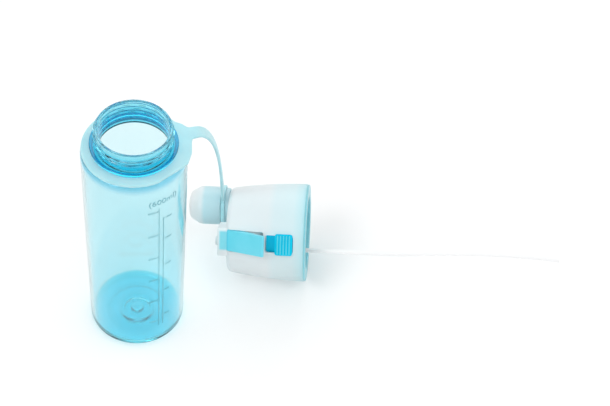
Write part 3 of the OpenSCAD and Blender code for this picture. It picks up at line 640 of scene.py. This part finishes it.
def helix_rise(angle, z, start, turns, pitch, width):
    """How far a thread stands out at this angle and height, from 0 to 1, fading at both its ends."""
    rise = 0.0
    for lap in range(int(turns) + 2):
        turn = lap + angle / (2 * math.pi)
        if turn > turns:
            continue
        fade = min(1.0, turn / THREAD_RUN_IN, (turns - turn) / THREAD_RUN_IN)
        away = abs(z - start - turn * pitch) / (width / 2)
        flank = max(0.0, min(1.0, (1.0 - away) / THREAD_FLANK))
        rise = max(rise, fade * flank * flank * (3 - 2 * flank))
    return rise


def bottle():
    """The body, shoulder and neck in one wall, with helical threads and a ringed base."""
    thread_low, thread_high = BEAD_Z + BEAD_T + 0.6, NECK_TOP - 1.2

    def wave(angle, r, z):
        if abs(r - NECK_R) > 0.01 or not thread_low < z < thread_high:
            return r
        rise = helix_rise(angle, z, THREAD_START, THREAD_TURNS, THREAD_PITCH, THREAD_W)
        return r + (THREAD_R - NECK_R) * rise

    inner_r, inner_base = BODY_R - WALL, BASE_R - WALL
    outer = rounded([
        (0, 0, 0), (BASE_R - 12, 0, 0), (BASE_R, 0, 6), (BODY_R, SHOULDER, 9),
        (NECK_ROOT_R, SHOULDER, 0.8), (NECK_ROOT_R, BEAD_Z, 0.3), (BEAD_R, BEAD_Z, 0.7),
        (BEAD_R, BEAD_Z + BEAD_T, 0.7), (NECK_R, BEAD_Z + BEAD_T, 0.5), (NECK_R, thread_low, 0)], steps=8)
    underside = [
        (0, 0.0), (3.0, 0.0), (3.4, 0.5), (10, 0.6), (10.4, 0.05), (11.6, 0.05),
        (12, 0.6), (21, 0.7), (22, 0.0)]
    middle = [(NECK_R, z) for z in steps(thread_low, thread_high, 52)][1:]
    lip = rounded([
        (NECK_R, thread_high, 0), (NECK_R, NECK_TOP, 0.9), (MOUTH_R, NECK_TOP, 0.9),
        (MOUTH_R, SHOULDER - WALL, 2.5), (inner_r, SHOULDER - WALL - 0.6, 8), (inner_base, FLOOR_T, 5),
        (24, FLOOR_T, 2), (22, FLOOR_T + 0.8, 2), (13, FLOOR_T + 1.4, 2), (12, FLOOR_T + 0.8, 1),
        (5.5, FLOOR_T + 1.0, 1), (4.2, FLOOR_T + 2.0, 0.8), (2.2, FLOOR_T + 2.0, 0.6),
        (1.6, FLOOR_T + 1.4, 0.3), (0, FLOOR_T + 1.4, 0)], steps=8)[1:]
    profile = underside + outer[1:] + middle + lip
    obj = lathe("bottle_body_visual", profile, WORLD, 192, wave=wave, smooth_angle=60)
    return finish_piece(obj, "bottle", "bottle_clear", "bottle_body")


STROKE_LIFTS = (-0.05, 0.16)
LETTER_HALF_T = 0.1
LETTER_LIFT = 0.05


def wall_r(z):
    """The body's outer radius at a height."""
    return BASE_R + (BODY_R - BASE_R) * z / SHOULDER


def on_wall(u, z, lift):
    """A point on the body, u millimetres round it from the front right, with its height."""
    r = wall_r(z)
    a = u / BODY_R
    return (r + lift) * math.cos(a), (r + lift) * math.sin(a), z


def wall_line(u0, u1, z0, z1):
    """A thin raised stroke on the body's wall."""
    cols = max(2, int(abs(u1 - u0) / 1.0))
    rows = max(2, int(abs(z1 - z0) / 12))
    verts, faces = [], []
    for lift in STROKE_LIFTS:
        for i in range(rows + 1):
            for j in range(cols + 1):
                verts.append(on_wall(u0 + (u1 - u0) * j / cols, z0 + (z1 - z0) * i / rows, lift))
    layer = (rows + 1) * (cols + 1)
    for i in range(rows):
        for j in range(cols):
            a = i * (cols + 1) + j
            quad = (a, a + 1, a + cols + 2, a + cols + 1)
            faces.append(quad[::-1])
            faces.append(tuple(layer + q for q in quad))
    rim = list(range(cols + 1))
    rim += [i * (cols + 1) + cols for i in range(1, rows + 1)]
    rim += [rows * (cols + 1) + j for j in range(cols - 1, -1, -1)]
    rim += [i * (cols + 1) for i in range(rows - 1, 0, -1)]
    for a, b in zip(rim, rim[1:] + rim[:1]):
        faces.append((a, b, layer + b, layer + a))
    return make("stroke", verts, faces, WORLD)


def wall_text(words, size, u, z, align="LEFT"):
    """Raised lettering wrapped round the body."""
    curve = bpy.data.curves.new("letters", "FONT")
    curve.body = words
    curve.size = size
    curve.align_x = align
    curve.extrude = LETTER_HALF_T
    curve.resolution_u = 3
    source = bpy.data.objects.new("letters", curve)
    bpy.context.scene.collection.objects.link(source)
    bpy.context.view_layer.update()
    mesh = bpy.data.meshes.new_from_object(source.evaluated_get(bpy.context.evaluated_depsgraph_get()))
    bpy.data.objects.remove(source)
    verts = [on_wall(u + v.co.x, z + v.co.y, v.co.z + LETTER_LIFT) for v in mesh.vertices]
    faces = [tuple(p.vertices) for p in mesh.polygons]
    bpy.data.meshes.remove(mesh)
    return make("letters", verts, faces, WORLD)


ML_PER_MM = 3.85
ML_PER_OUNCE = 29.57
LEFT_LINE = math.radians(-61) * BODY_R
RIGHT_LINE = math.radians(-55.5) * BODY_R
LINE_FOOT = 22
LINE_HALF_W = 0.25
TICK_HALF_W = 0.2
TICK_LEN = 1.0
DIGIT_SIZE = 3.0
TITLE_SIZE = 7.6


def graduations():
    """Generic capacity marks: a millilitre column, an ounce column and the capacity above them."""
    parts = [
        wall_line(LEFT_LINE - LINE_HALF_W, LEFT_LINE + LINE_HALF_W, LINE_FOOT, 162),
        wall_line(RIGHT_LINE - LINE_HALF_W, RIGHT_LINE + LINE_HALF_W, LINE_FOOT, 150),
        wall_text("(600ml)", TITLE_SIZE, LEFT_LINE - 8.0, 166.0),
    ]
    for ml in range(100, 601, 100):
        z = FLOOR_T + ml / ML_PER_MM
        parts.append(wall_text(f"{ml}ml", DIGIT_SIZE, LEFT_LINE - TICK_LEN, z - 1.0, "RIGHT"))
        parts.append(wall_line(LEFT_LINE - TICK_LEN, LEFT_LINE, z - TICK_HALF_W, z + TICK_HALF_W))
    for ounces in (4, 8, 12, 16, 19):
        z = FLOOR_T + ounces * ML_PER_OUNCE / ML_PER_MM
        parts.append(wall_text(f"{ounces}oz", DIGIT_SIZE, RIGHT_LINE + 1.4, z - 1.0))
        parts.append(wall_line(RIGHT_LINE, RIGHT_LINE + TICK_LEN, z - TICK_HALF_W, z + TICK_HALF_W))
    obj = joined("graduations", parts)
    return finish_piece(obj, "bottle", "bottle_clear", material="mark")


# ---------------------------------------------------------------- strap

def strap():
    """Collar, band and end ring: one soft moulding, the band curving away where it leaves the collar."""
    across = -Vector(JOINTS["tether_swing"]["axis"])
    out = across.cross(Vector((0, 0, 1)))
    start = Vector(JOINTS["tether_swing"]["pos_m"]) / MM
    low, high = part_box("strap_end_ring")
    centre = (low + high) / 2 / MM
    up = (Vector((0, 0, 1)) - LID_Z * LID_Z.z).normalized()
    side = LID_Z.cross(up)
    landing_angle = math.radians(BAND_LANDING)
    landing_dir = up * math.cos(landing_angle) + side * math.sin(landing_angle)
    landing = centre + landing_dir * (END_RING_R - 0.6)
    pulls = (start, start + out * BAND_START_PULL, landing + landing_dir * BAND_END_PULL, landing)

    def band_at(t):
        a, b, c, d = pulls
        return a * (1 - t) ** 3 + b * 3 * (1 - t) ** 2 * t + c * 3 * (1 - t) * t * t + d * t ** 3

    ts = steps(0, 1, 80)
    centres = [start - out * 6, start - out * 3] + [band_at(t) for t in ts]
    landing_across = LID_Z.cross(landing_dir)
    wides = [across, across] + [across.lerp(landing_across, t) for t in ts]
    h, w = STRAP_T / 2, BAND_W / 2
    section = rounded([(-w, -h, 0.7), (w, -h, 0.7), (w, h, 0.7), (-w, h, 0.7)], closed=True, steps=3)
    band = sweep("band", centres, wides, section, WORLD)

    turn = Matrix.Rotation(math.atan2(out.y, out.x), 4, "Z")
    outline = rounded(
        [(*polar(COLLAR_R, a), 0) for a in range(22, 286, 6)]
        + [(*polar(TAB_R, a), 5) for a in (-41, -26, -11.5)]
        + [(41.4, -w, 1.5), (46, -w, 0), (46, w, 0), (41.5, w + 0.4, 3), (38.6, 10.0, 3)],
        closed=True, steps=4)
    plate = extrude("plate", outline, COLLAR_Z, COLLAR_Z + STRAP_T, WORLD @ turn)
    combine(plate, drill(NECK_ROOT_R + COLLAR_GAP, COLLAR_Z - 2, COLLAR_Z + 5, WORLD, 96), "DIFFERENCE")

    ring_z = GROOVE_Z + 0.1
    ring_profile = rounded([
        (GROOVE_R, ring_z, 0.4), (END_RING_R, ring_z, 0.7),
        (END_RING_R, ring_z + END_RING_T, 0.7), (GROOVE_R, ring_z + END_RING_T, 0.4)], closed=True, steps=3)
    ring = lathe("ring", ring_profile, ON_SPOUT, 96, closed=True)

    obj = joined("strap", [plate, band, ring])
    remesh = obj.modifiers.new("weld", "REMESH")
    remesh.mode = "VOXEL"
    remesh.voxel_size = STRAP_VOXEL * MM
    smooth = obj.modifiers.new("smooth", "SMOOTH")
    smooth.factor = 0.5
    smooth.iterations = 5
    apply_modifiers(obj)
    obj.data.polygons.foreach_set("use_smooth", [True] * len(obj.data.polygons))
    finish_piece(obj, None, "strap_silicone", "strap_collar", "strap_band", "strap_end_ring")
    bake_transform(obj)
    return obj


# ---------------------------------------------------------------- dust cap and spout

def dust_cap():
    """Domed cap with a groove for the strap's ring outside and a plug for the spout inside."""
    inner = CAP_R - CAP_WALL
    profile = rounded([
        (GRIP_R, CAP_BASE, 0.4), (CAP_R - 0.75, CAP_BASE, 0.7), (CAP_R - 0.75, GROOVE_Z, 0.4),
        (GROOVE_R, GROOVE_Z, 0.3), (GROOVE_R, GROOVE_Z + END_RING_T + 0.2, 0.3),
        (CAP_R - 0.1, GROOVE_Z + END_RING_T + 0.5, 0.6), (CAP_R, CAP_TOP - 9.2, 9),
        (CAP_R - 4.6, CAP_TOP - 1.3, 8.5), (5.5, CAP_TOP, 6), (0, CAP_TOP, 0)], steps=10)
    roof, ring_top, plug_end = CAP_TOP - CAP_WALL, GROOVE_Z + END_RING_T, SPOUT_TOP - 3.5
    inside = rounded([
        (0, roof, 0), (PLUG_R[0] - 0.14, roof - 0.2, 0.4), (PLUG_R[0], plug_end, 0.4),
        (PLUG_R[1], plug_end, 0.5), (PLUG_R[1], roof - 1.6, 0.4), (inner - 3.4, roof - 2.6, 3),
        (inner, CAP_TOP - 9, 4), (inner, ring_top + 2.6, 0.8), (GRIP_R, ring_top + 1.2, 0.5),
        (GRIP_R, CAP_BASE, 0)], steps=6)
    obj = lathe("dust_cap_visual", profile + inside, ON_SPOUT, 128)
    return finish_piece(obj, "tether", "cap_frosted", "dust_cap")


def drink_spout():
    """The spout's tube, from its foot on the inner cap's deck to inside the dust cap."""
    foot, foot_top, foot_r = DECK_TOP + 1, DECK_TOP + 3, SPOUT_R + 1.5
    profile = rounded([
        (SPOUT_BORE_R, foot, 0.2), (foot_r, foot, 0.3), (foot_r, foot_top, 0.5), (SPOUT_R, foot_top, 0.6),
        (SPOUT_R, SPOUT_TOP, 0.9), (SPOUT_BORE_R, SPOUT_TOP, 0.7)], closed=True)
    obj = lathe("drink_spout_visual", profile, ON_SPOUT, 128, closed=True)
    return finish_piece(obj, "lid", "spout_cyan", "drink_spout")


# ---------------------------------------------------------------- lid shell

def outer_shell():
    """The frosted barrel and hood, with openings for the lever, the lock, the spout and the nozzle."""
    corner_z = LID_H - SHELL_ROUND
    outer = [(barrel_r(z), z) for z in steps(RIM_LIP + 0.5, corner_z, 30)]
    corner = [
        (barrel_r(corner_z) - SHELL_ROUND + dx, corner_z + dz)
        for dx, dz in (polar(SHELL_ROUND, a) for a in range(10, 90, 10))
    ]
    inner_corner = [
        (barrel_r(corner_z) - SHELL_ROUND + dx, corner_z + dz)
        for dx, dz in (polar(SHELL_ROUND - SHELL_WALL, a) for a in range(90, -1, -15))
    ]
    inner = [(barrel_r(z) - SHELL_WALL, z) for z in reversed(steps(RIM_LIP, corner_z - 1, 14))]
    profile = (
        [(0, LID_H), (barrel_r(corner_z) - SHELL_ROUND - 1.5, LID_H)] + corner[::-1] + outer[::-1]
        + [(barrel_r(RIM_LIP) - 0.5, RIM_LIP)] + inner[::-1] + inner_corner[::-1] + [(0, LID_H - SHELL_WALL)]
    )
    shell = lathe("outer_shell_visual", profile, LID)

    near, far = HOOD_SIDES
    nose = [(*polar(HOOD_R, a), 0) for a in steps(*HOOD_NOSE, 12)]
    for end in (0, -1):
        nose[end] = (*nose[end][:2], 2.4)
    outline = rounded([(HOOD_BACK, near, 3.5)] + nose + [(HOOD_BACK, far, 3.5)], closed=True)
    hood = extrude("hood", outline, LID_H - SHELL_WALL + 0.2, HOOD_TOP, LID)
    soften(hood, 1.6, 4, 60)
    combine(shell, hood, "UNION")

    cuts = [
        rounded_box("cut", (HOOD_BACK + HOOD_WALL, -SLOT_W / 2, ROOM_FLOOR),
                    (ROOM_FRONT, SLOT_W / 2, HOOD_TOP - HOOD_ROOF), 1.0, LID, "z"),
        rounded_box("cut", (HOOD_BACK, -LEVER_W / 2 - WINDOW_GAP, LEVER_WINDOW[0]),
                    (PAST_SHELL, LEVER_W / 2 + WINDOW_GAP, LEVER_WINDOW[1]), 1.6, LID, "x"),
        rounded_box("cut", (HOOD_BACK, -TONGUE_W / 2 - WINDOW_GAP, LOCK_WINDOW[0]),
                    (PAST_SHELL, TONGUE_W / 2 + WINDOW_GAP, LOCK_WINDOW[1]), 2.0, LID, "x"),
        drill(SPOUT_R + 0.3, 55, 70, ON_SPOUT, 96),
        drill(NOZZLE_R + 0.05, NOZZLE_BASE, 80, ON_NOZZLE, 64),
    ]
    for cut in cuts:
        combine(shell, cut, "DIFFERENCE")
    soften(shell, 0.35, 2, 45)
    return finish_piece(shell, "lid", "shell_frosted", "outer_shell")


def inner_cap():
    """The threaded cap that screws onto the neck; its rim shows at the lid's open end."""
    def wave(angle, r, z):
        if abs(r - SOCKET_R) > 0.01 or not 0.8 < z < SOCKET_DEPTH - 2:
            return r
        rise = helix_rise(angle, z, SOCKET_THREAD_START, THREAD_TURNS, THREAD_PITCH, THREAD_W)
        return r - (SOCKET_R - SOCKET_THREAD_R) * rise

    lip = RIM_R - 0.4
    seat = barrel_r(RIM_LIP) - SHELL_WALL - 0.05
    outside = rounded([
        (SOCKET_R, 0.6, 0), (SOCKET_R + 0.4, 0, 0.3), (lip, 0, 0.6), (lip, RIM_LIP - 0.05, 0.4),
        (seat, RIM_LIP - 0.05, 0.1), (seat, RIM_LIP + 1.6, 0.3), (SKIRT_R, RIM_LIP + 1.6, 0.8),
        (SKIRT_R, DECK_TOP, 1), (0, DECK_TOP, 0)])
    inside = [(0, SOCKET_DEPTH), (SOCKET_R - 0.6, SOCKET_DEPTH), (SOCKET_R, SOCKET_DEPTH - 0.6)]
    threads = [(SOCKET_R, z) for z in reversed(steps(0.6, SOCKET_DEPTH - 1.5, 46))]
    obj = lathe("inner_cap_visual", outside + inside + threads, LID, wave=wave)
    combine(obj, drill(SPOUT_BORE_R, *DECK_CUT, ON_SPOUT, 64), "DIFFERENCE")
    combine(obj, drill(FOOT_R, *DECK_CUT, ON_INLET, 48), "DIFFERENCE")
    tidy(obj, 40)
    return finish_piece(obj, "lid", "cap_inner", "inner_cap")


def nozzle():
    """The spray head on the hood, with its small hole."""
    z = HOOD_TOP
    inlet_r, hole_r, base = 2.45, 0.3, NOZZLE_BASE
    profile = rounded([
        (inlet_r, base, 0), (NOZZLE_R, base, 0.2), (NOZZLE_R, z + 0.4, 0.4), (NOZZLE_TIP_R, z + 0.8, 0.3),
        (NOZZLE_TIP_R, z + 2.6, 0.8), (1.6, z + 2.6, 0.3), (1.1, z + 1.9, 0.2), (hole_r, z + 1.9, 0),
        (hole_r, z + 1.3, 0), (inlet_r, z + 1.3, 0)], closed=True)
    obj = lathe("nozzle_visual", profile, ON_NOZZLE, 64, closed=True)
    return finish_piece(obj, "lid", "nozzle_frosted", "nozzle")


# ---------------------------------------------------------------- trigger and lock

FACE_TOP = (32.0, 60.0)
TIP = (barrel_r(32.3) + 9.1, 32.3)
LEVER_T = 2.4
LEVER_BACK = 25.9
SKIRT_DEPTH = 4.5
SKIRT_T = 1.4
SKIRT_END_Z = 40
PUSHER_X = (35.6, 39.4)
PUSHER_HALF = (1.4, 2.5)


def trigger_lever():
    """The lever's bent plate with its side skirts, the pusher behind it and the hinge bore."""
    face = Vector(TIP) - Vector(FACE_TOP)
    normal = Vector((-face.y, face.x)).normalized()
    inner_top = Vector(FACE_TOP) - normal * LEVER_T
    inner_tip = Vector(TIP) - normal * LEVER_T
    middle = (Vector(FACE_TOP) + Vector(TIP)) / 2
    outline = rounded([
        (LEVER_BACK, 61, 0.6), (LEVER_BACK, HEAD_TOP, 1.2), (32, HEAD_TOP, 2.0),
        (FACE_TOP[0], FACE_TOP[1] + 1.0, 2.5), (FACE_TOP[0] + 1.6, FACE_TOP[1] - 2.4, 3.0),
        (middle.x + 0.3, middle.y, 14), (TIP[0], TIP[1], 1.0), (inner_tip.x, inner_tip.y, 0.6),
        (inner_top.x, inner_top.y, 2)], closed=True)
    half = LEVER_W / 2
    lever = extrude("trigger_lever_visual", outline, -half, half, LID, "xz")
    depth = normal * SKIRT_DEPTH
    skirt_end = Vector(FACE_TOP) + face * ((FACE_TOP[1] - SKIRT_END_Z) / (FACE_TOP[1] - TIP[1]))
    skirt_outline = rounded([
        (FACE_TOP[0] - 0.3, FACE_TOP[1] - 0.4, 0), (skirt_end.x - 0.4, skirt_end.y - 0.3, 0),
        (skirt_end.x - depth.x, skirt_end.y - depth.y + 1, 2),
        (FACE_TOP[0] - depth.x, FACE_TOP[1] - depth.y, 1)], closed=True)
    for side in (-1, 1):
        edge = side * (half - 0.05)
        low, high = sorted((edge, edge - side * SKIRT_T))
        combine(lever, extrude("skirt", skirt_outline, low, high, LID, "xz"), "UNION")
    soften(lever, 0.9, 3, 50)
    (nose_x, root_x), (half_h, half_w) = PUSHER_X, PUSHER_HALF
    pusher_outline = rounded([
        (nose_x, PUMP_Z - half_h, 1.3), (nose_x, PUMP_Z + half_h, 1.3), (root_x, PUMP_Z + half_h, 0),
        (root_x, PUMP_Z - half_h, 0)], closed=True)
    pusher = extrude("pusher", pusher_outline, PUMP_SIDE - half_w, PUMP_SIDE + half_w, LID, "xz")
    combine(lever, pusher, "UNION")
    on_hinge = LID @ Matrix.Translation((HINGE_X, 0, HINGE_Z)) @ Matrix.Rotation(math.pi / 2, 4, "X")
    combine(lever, drill(PIN_R + 0.05, -20, 20, on_hinge, 48), "DIFFERENCE")
    tidy(lever, 40)
    return finish_piece(lever, "trigger", "trigger_cyan", "trigger_lever")


def curved_block(name, r_in, r_out, width, z0, z1, corner):
    """A block with a curved back and front, as wide as a chord, with rounded corners."""
    deep, tall = 12, 2
    box = rounded_box(name, (r_in - deep, -width / 2, z0), (r_out + deep, width / 2, z1), corner, LID, "x")
    profile = [(r_in, z0 - tall), (r_out, z0 - tall), (r_out, z1 + tall), (r_in, z1 + tall)]
    ring = lathe("ring", profile, LID, closed=True)
    return combine(box, ring, "INTERSECT")


PAD_LEN = 13.6
PAD_T = 0.9
RIB_COUNT = 5
RIB_W = 1.1
RIB_RISE = 0.8


def lock_slider():
    """The slider's plate inside the shell, its tongue and pad outside it, and the ribs as a second piece."""
    pad_z = LOCK_WINDOW[0] + 0.5
    pad_top = pad_z + PAD_LEN
    plate_top = LOCK_WINDOW[1] - 0.6
    plate_in = SKIRT_R + 1.7
    plate_out = barrel_r(plate_top + 6.6) - SHELL_WALL - 0.4
    pad_in = barrel_r(pad_z) + 0.1
    pad_r = pad_in + PAD_T
    body = curved_block(
        "lock_slider_visual", plate_in, plate_out, TONGUE_W + 5.2, LOCK_WINDOW[0] - 1, plate_top, 0.8)
    for name, r_in, r_out, width, low, high, corner in (
        ("neck", plate_out - 0.4, pad_in + 0.3, TONGUE_W, pad_z, pad_top, 0.3),
        ("pad", pad_in, pad_r, LOCK_W, pad_z, pad_top, 2.0),
        ("tongue", plate_out - 0.4, plate_out + 0.5, TONGUE_W, pad_top - 0.4, plate_top, 0.3),
    ):
        combine(body, curved_block(name, r_in, r_out, width, low, high, corner), "UNION")
    soften(body, 0.3, 2, 45)
    finish_piece(body, "lock", "lock_cyan", "lock_slider")
    step = (PAD_LEN - 2 * RIB_W) / RIB_COUNT
    ribs = []
    for i in range(RIB_COUNT):
        z = pad_z + RIB_W + (i + 0.5) * step - RIB_W / 2
        ribs.append(curved_block("rib", pad_r - 0.4, pad_r + RIB_RISE, LOCK_W - 2, z, z + RIB_W, 0.4))
    grip = joined("lock_ribs_visual", ribs)
    soften(grip, 0.3, 2, 45)
    # the ribs take a lighter cyan than the pad: painted highlight on the ribs, with the pad between them left
    # darker as painted shade
    return finish_piece(grip, "lock", "lock_cyan", material="lock_ribs_painted_highlight")


def return_spring():
    """The coil between the pump's gland and the rod's head."""
    low, high = SPRING_X
    centres, wides = [], []
    for t in steps(0, 1, 24 * SPRING_TURNS):
        y, z = polar(1, 360 * SPRING_TURNS * t)
        x = low + SPRING_WIRE_R + (high - low - 2 * SPRING_WIRE_R) * t
        centres.append((x, PUMP_SIDE + SPRING_R * y, PUMP_Z + SPRING_R * z))
        wides.append((0, y, z))
    section = [polar(SPRING_WIRE_R, 45 * j) for j in range(8)]
    obj = sweep("return_spring_visual", centres, wides, section, LID)
    finish_piece(obj, None, "steel", "return_spring")
    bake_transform(obj)
    return obj


# ---------------------------------------------------------------- dip tube

def tube_places():
    """The tube's middle line in its own bending plane: (across, height) points."""
    places = [(0.0, h) for h in steps(TUBE_TOP, -TUBE_STRAIGHT, 18)]
    across, height = places[-1]
    heading, used = 0.0, TUBE_STRAIGHT

    def ahead(length, bend, count):
        nonlocal across, height, heading, used
        for _ in range(count):
            heading += math.radians(bend) / count / 2
            across += length / count * math.sin(heading)
            height -= length / count * math.cos(heading)
            heading += math.radians(bend) / count / 2
            places.append((across, height))
        used += length

    ahead(TUBE_CURL_R * math.radians(abs(TUBE_BENDS[0])), TUBE_BENDS[0], 16)
    ahead(TUBE_MIDDLE, 0, 6)
    ahead(TUBE_CURL_R * math.radians(abs(TUBE_BENDS[1])), TUBE_BENDS[1], 36)
    ahead(TUBE_REACH - used, 0, 3)
    return places


def dip_tube():
    """The tube with its bore, along its natural curl."""
    place = ON_INLET @ Matrix.Rotation(math.radians(TUBE_HEADING), 4, "Z")
    path = [Vector((a, 0, h)) for a, h in tube_places()]
    wide = Vector((0, 1, 0))
    sides = 32
    outer = [polar(TUBE_R, 360 * j / sides) for j in range(sides)]
    inner = [polar(TUBE_BORE_R, 360 * j / sides) for j in range(sides)]
    verts, faces = [], []
    count = len(path)
    for section in (outer, inner):
        for i, c in enumerate(path):
            along = (path[min(i + 1, count - 1)] - path[max(i - 1, 0)]).normalized()
            through = along.cross(wide)
            verts += [c + wide * a + through * b for a, b in section]
    layer = count * sides
    for i in range(count - 1):
        for j in range(sides):
            k = (j + 1) % sides
            quad = (i * sides + j, i * sides + k, (i + 1) * sides + k, (i + 1) * sides + j)
            faces.append(quad)
            faces.append(tuple(layer + q for q in reversed(quad)))
    for i in (0, count - 1):
        for j in range(sides):
            k = (j + 1) % sides
            faces.append((i * sides + j, i * sides + k, layer + i * sides + k, layer + i * sides + j))
    obj = make("dip_tube_visual", verts, faces, place)
    return finish_piece(obj, "lid", "tube_clear", "dip_tube")


# ---------------------------------------------------------------- CAD pieces that stay

SLOTS = {s["node"]: s["material_slot"] for s in frame["record"]["subparts"]}


def finish_cad_nodes():
    for name, obj in frame["nodes"].items():
        obj.data.materials.clear()
        obj.data.materials.append(MATERIALS[SLOTS[name]])


# ---------------------------------------------------------------- stage, light and camera

CAMERA_AT = Vector((0.03728, -0.74227, 1.00951))
CAMERA_PITCH = 49.586
CAMERA_YAW = 6.6165
CAMERA_ROLL = 6.0445
CAMERA_LENS = 93.18
CAMERA_SENSOR = 36
FLOOR_HALF = 6.0
FLOOR_DROP = 0.0002
WORLD_STRENGTH = 0.74
# name, place, target, size and power
AREA_LIGHTS = [
    ("key", (-0.9, -0.7, 1.6), (0.08, 0, 0.08), 0.9, 9),
    ("fill", (1.3, -0.4, 1.2), (0.1, 0, 0.08), 1.2, 5),
    ("back", (0.1, 1.5, 1.3), (0.08, 0, 0.1), 1.2, 6),
]


def stage():
    """A plain pale floor, just under the object."""
    mat, nodes, links, shader = node_material("floor_paper")
    mottled(nodes, links, shader.inputs["Base Color"], (0.97, 0.97, 0.97), (0.985, 0.985, 0.985), 4)
    grained(nodes, links, shader, 300, 0.02, 0.0001, 0.75, 0.85)
    s = FLOOR_HALF
    verts = [(-s, -s, 0), (s, -s, 0), (s, s, 0), (-s, s, 0)]
    obj = make("floor", verts, [(0, 1, 2, 3)], Matrix.Translation((0, 0, -FLOOR_DROP)))
    obj.data.materials.append(mat)


def area_light(name, at, target, size, power):
    light = bpy.data.lights.new(name, "AREA")
    light.size = size
    light.energy = power
    obj = bpy.data.objects.new(name, light)
    obj.location = at
    obj.rotation_euler = (Vector(target) - Vector(at)).to_track_quat("-Z", "Y").to_euler()
    bpy.context.scene.collection.objects.link(obj)


def lights():
    world = bpy.data.worlds.new("studio")
    world.use_nodes = True
    world.node_tree.nodes["Background"].inputs["Color"].default_value = (1.0, 1.0, 1.0, 1)
    world.node_tree.nodes["Background"].inputs["Strength"].default_value = WORLD_STRENGTH
    bpy.context.scene.world = world
    for light in AREA_LIGHTS:
        area_light(*light)
    bpy.context.scene.view_settings.view_transform = "Standard"


def camera():
    """The photograph's viewing angle, fitted to the bottle's outline."""
    pitch, yaw, roll = (math.radians(a) for a in (CAMERA_PITCH, CAMERA_YAW, CAMERA_ROLL))
    forward = Vector((math.sin(yaw) * math.cos(pitch), math.cos(yaw) * math.cos(pitch), -math.sin(pitch)))
    right = Vector((math.cos(yaw), -math.sin(yaw), 0))
    up = right.cross(forward)
    image_right = right * math.cos(roll) + up * math.sin(roll)
    image_up = up * math.cos(roll) - right * math.sin(roll)
    cam = bpy.data.cameras.new("camera")
    cam.lens = CAMERA_LENS
    cam.sensor_width = CAMERA_SENSOR
    obj = bpy.data.objects.new("camera", cam)
    rows = [(image_right[i], image_up[i], -forward[i]) for i in range(3)]
    obj.matrix_world = Matrix.Translation(CAMERA_AT) @ Matrix(rows).to_4x4()
    bpy.context.scene.collection.objects.link(obj)
    bpy.context.scene.camera = obj


camera()
lights()
stage()
finish_cad_nodes()
bottle()
graduations()
strap()
dust_cap()
drink_spout()
outer_shell()
inner_cap()
nozzle()
trigger_lever()
lock_slider()
return_spring()
dip_tube()
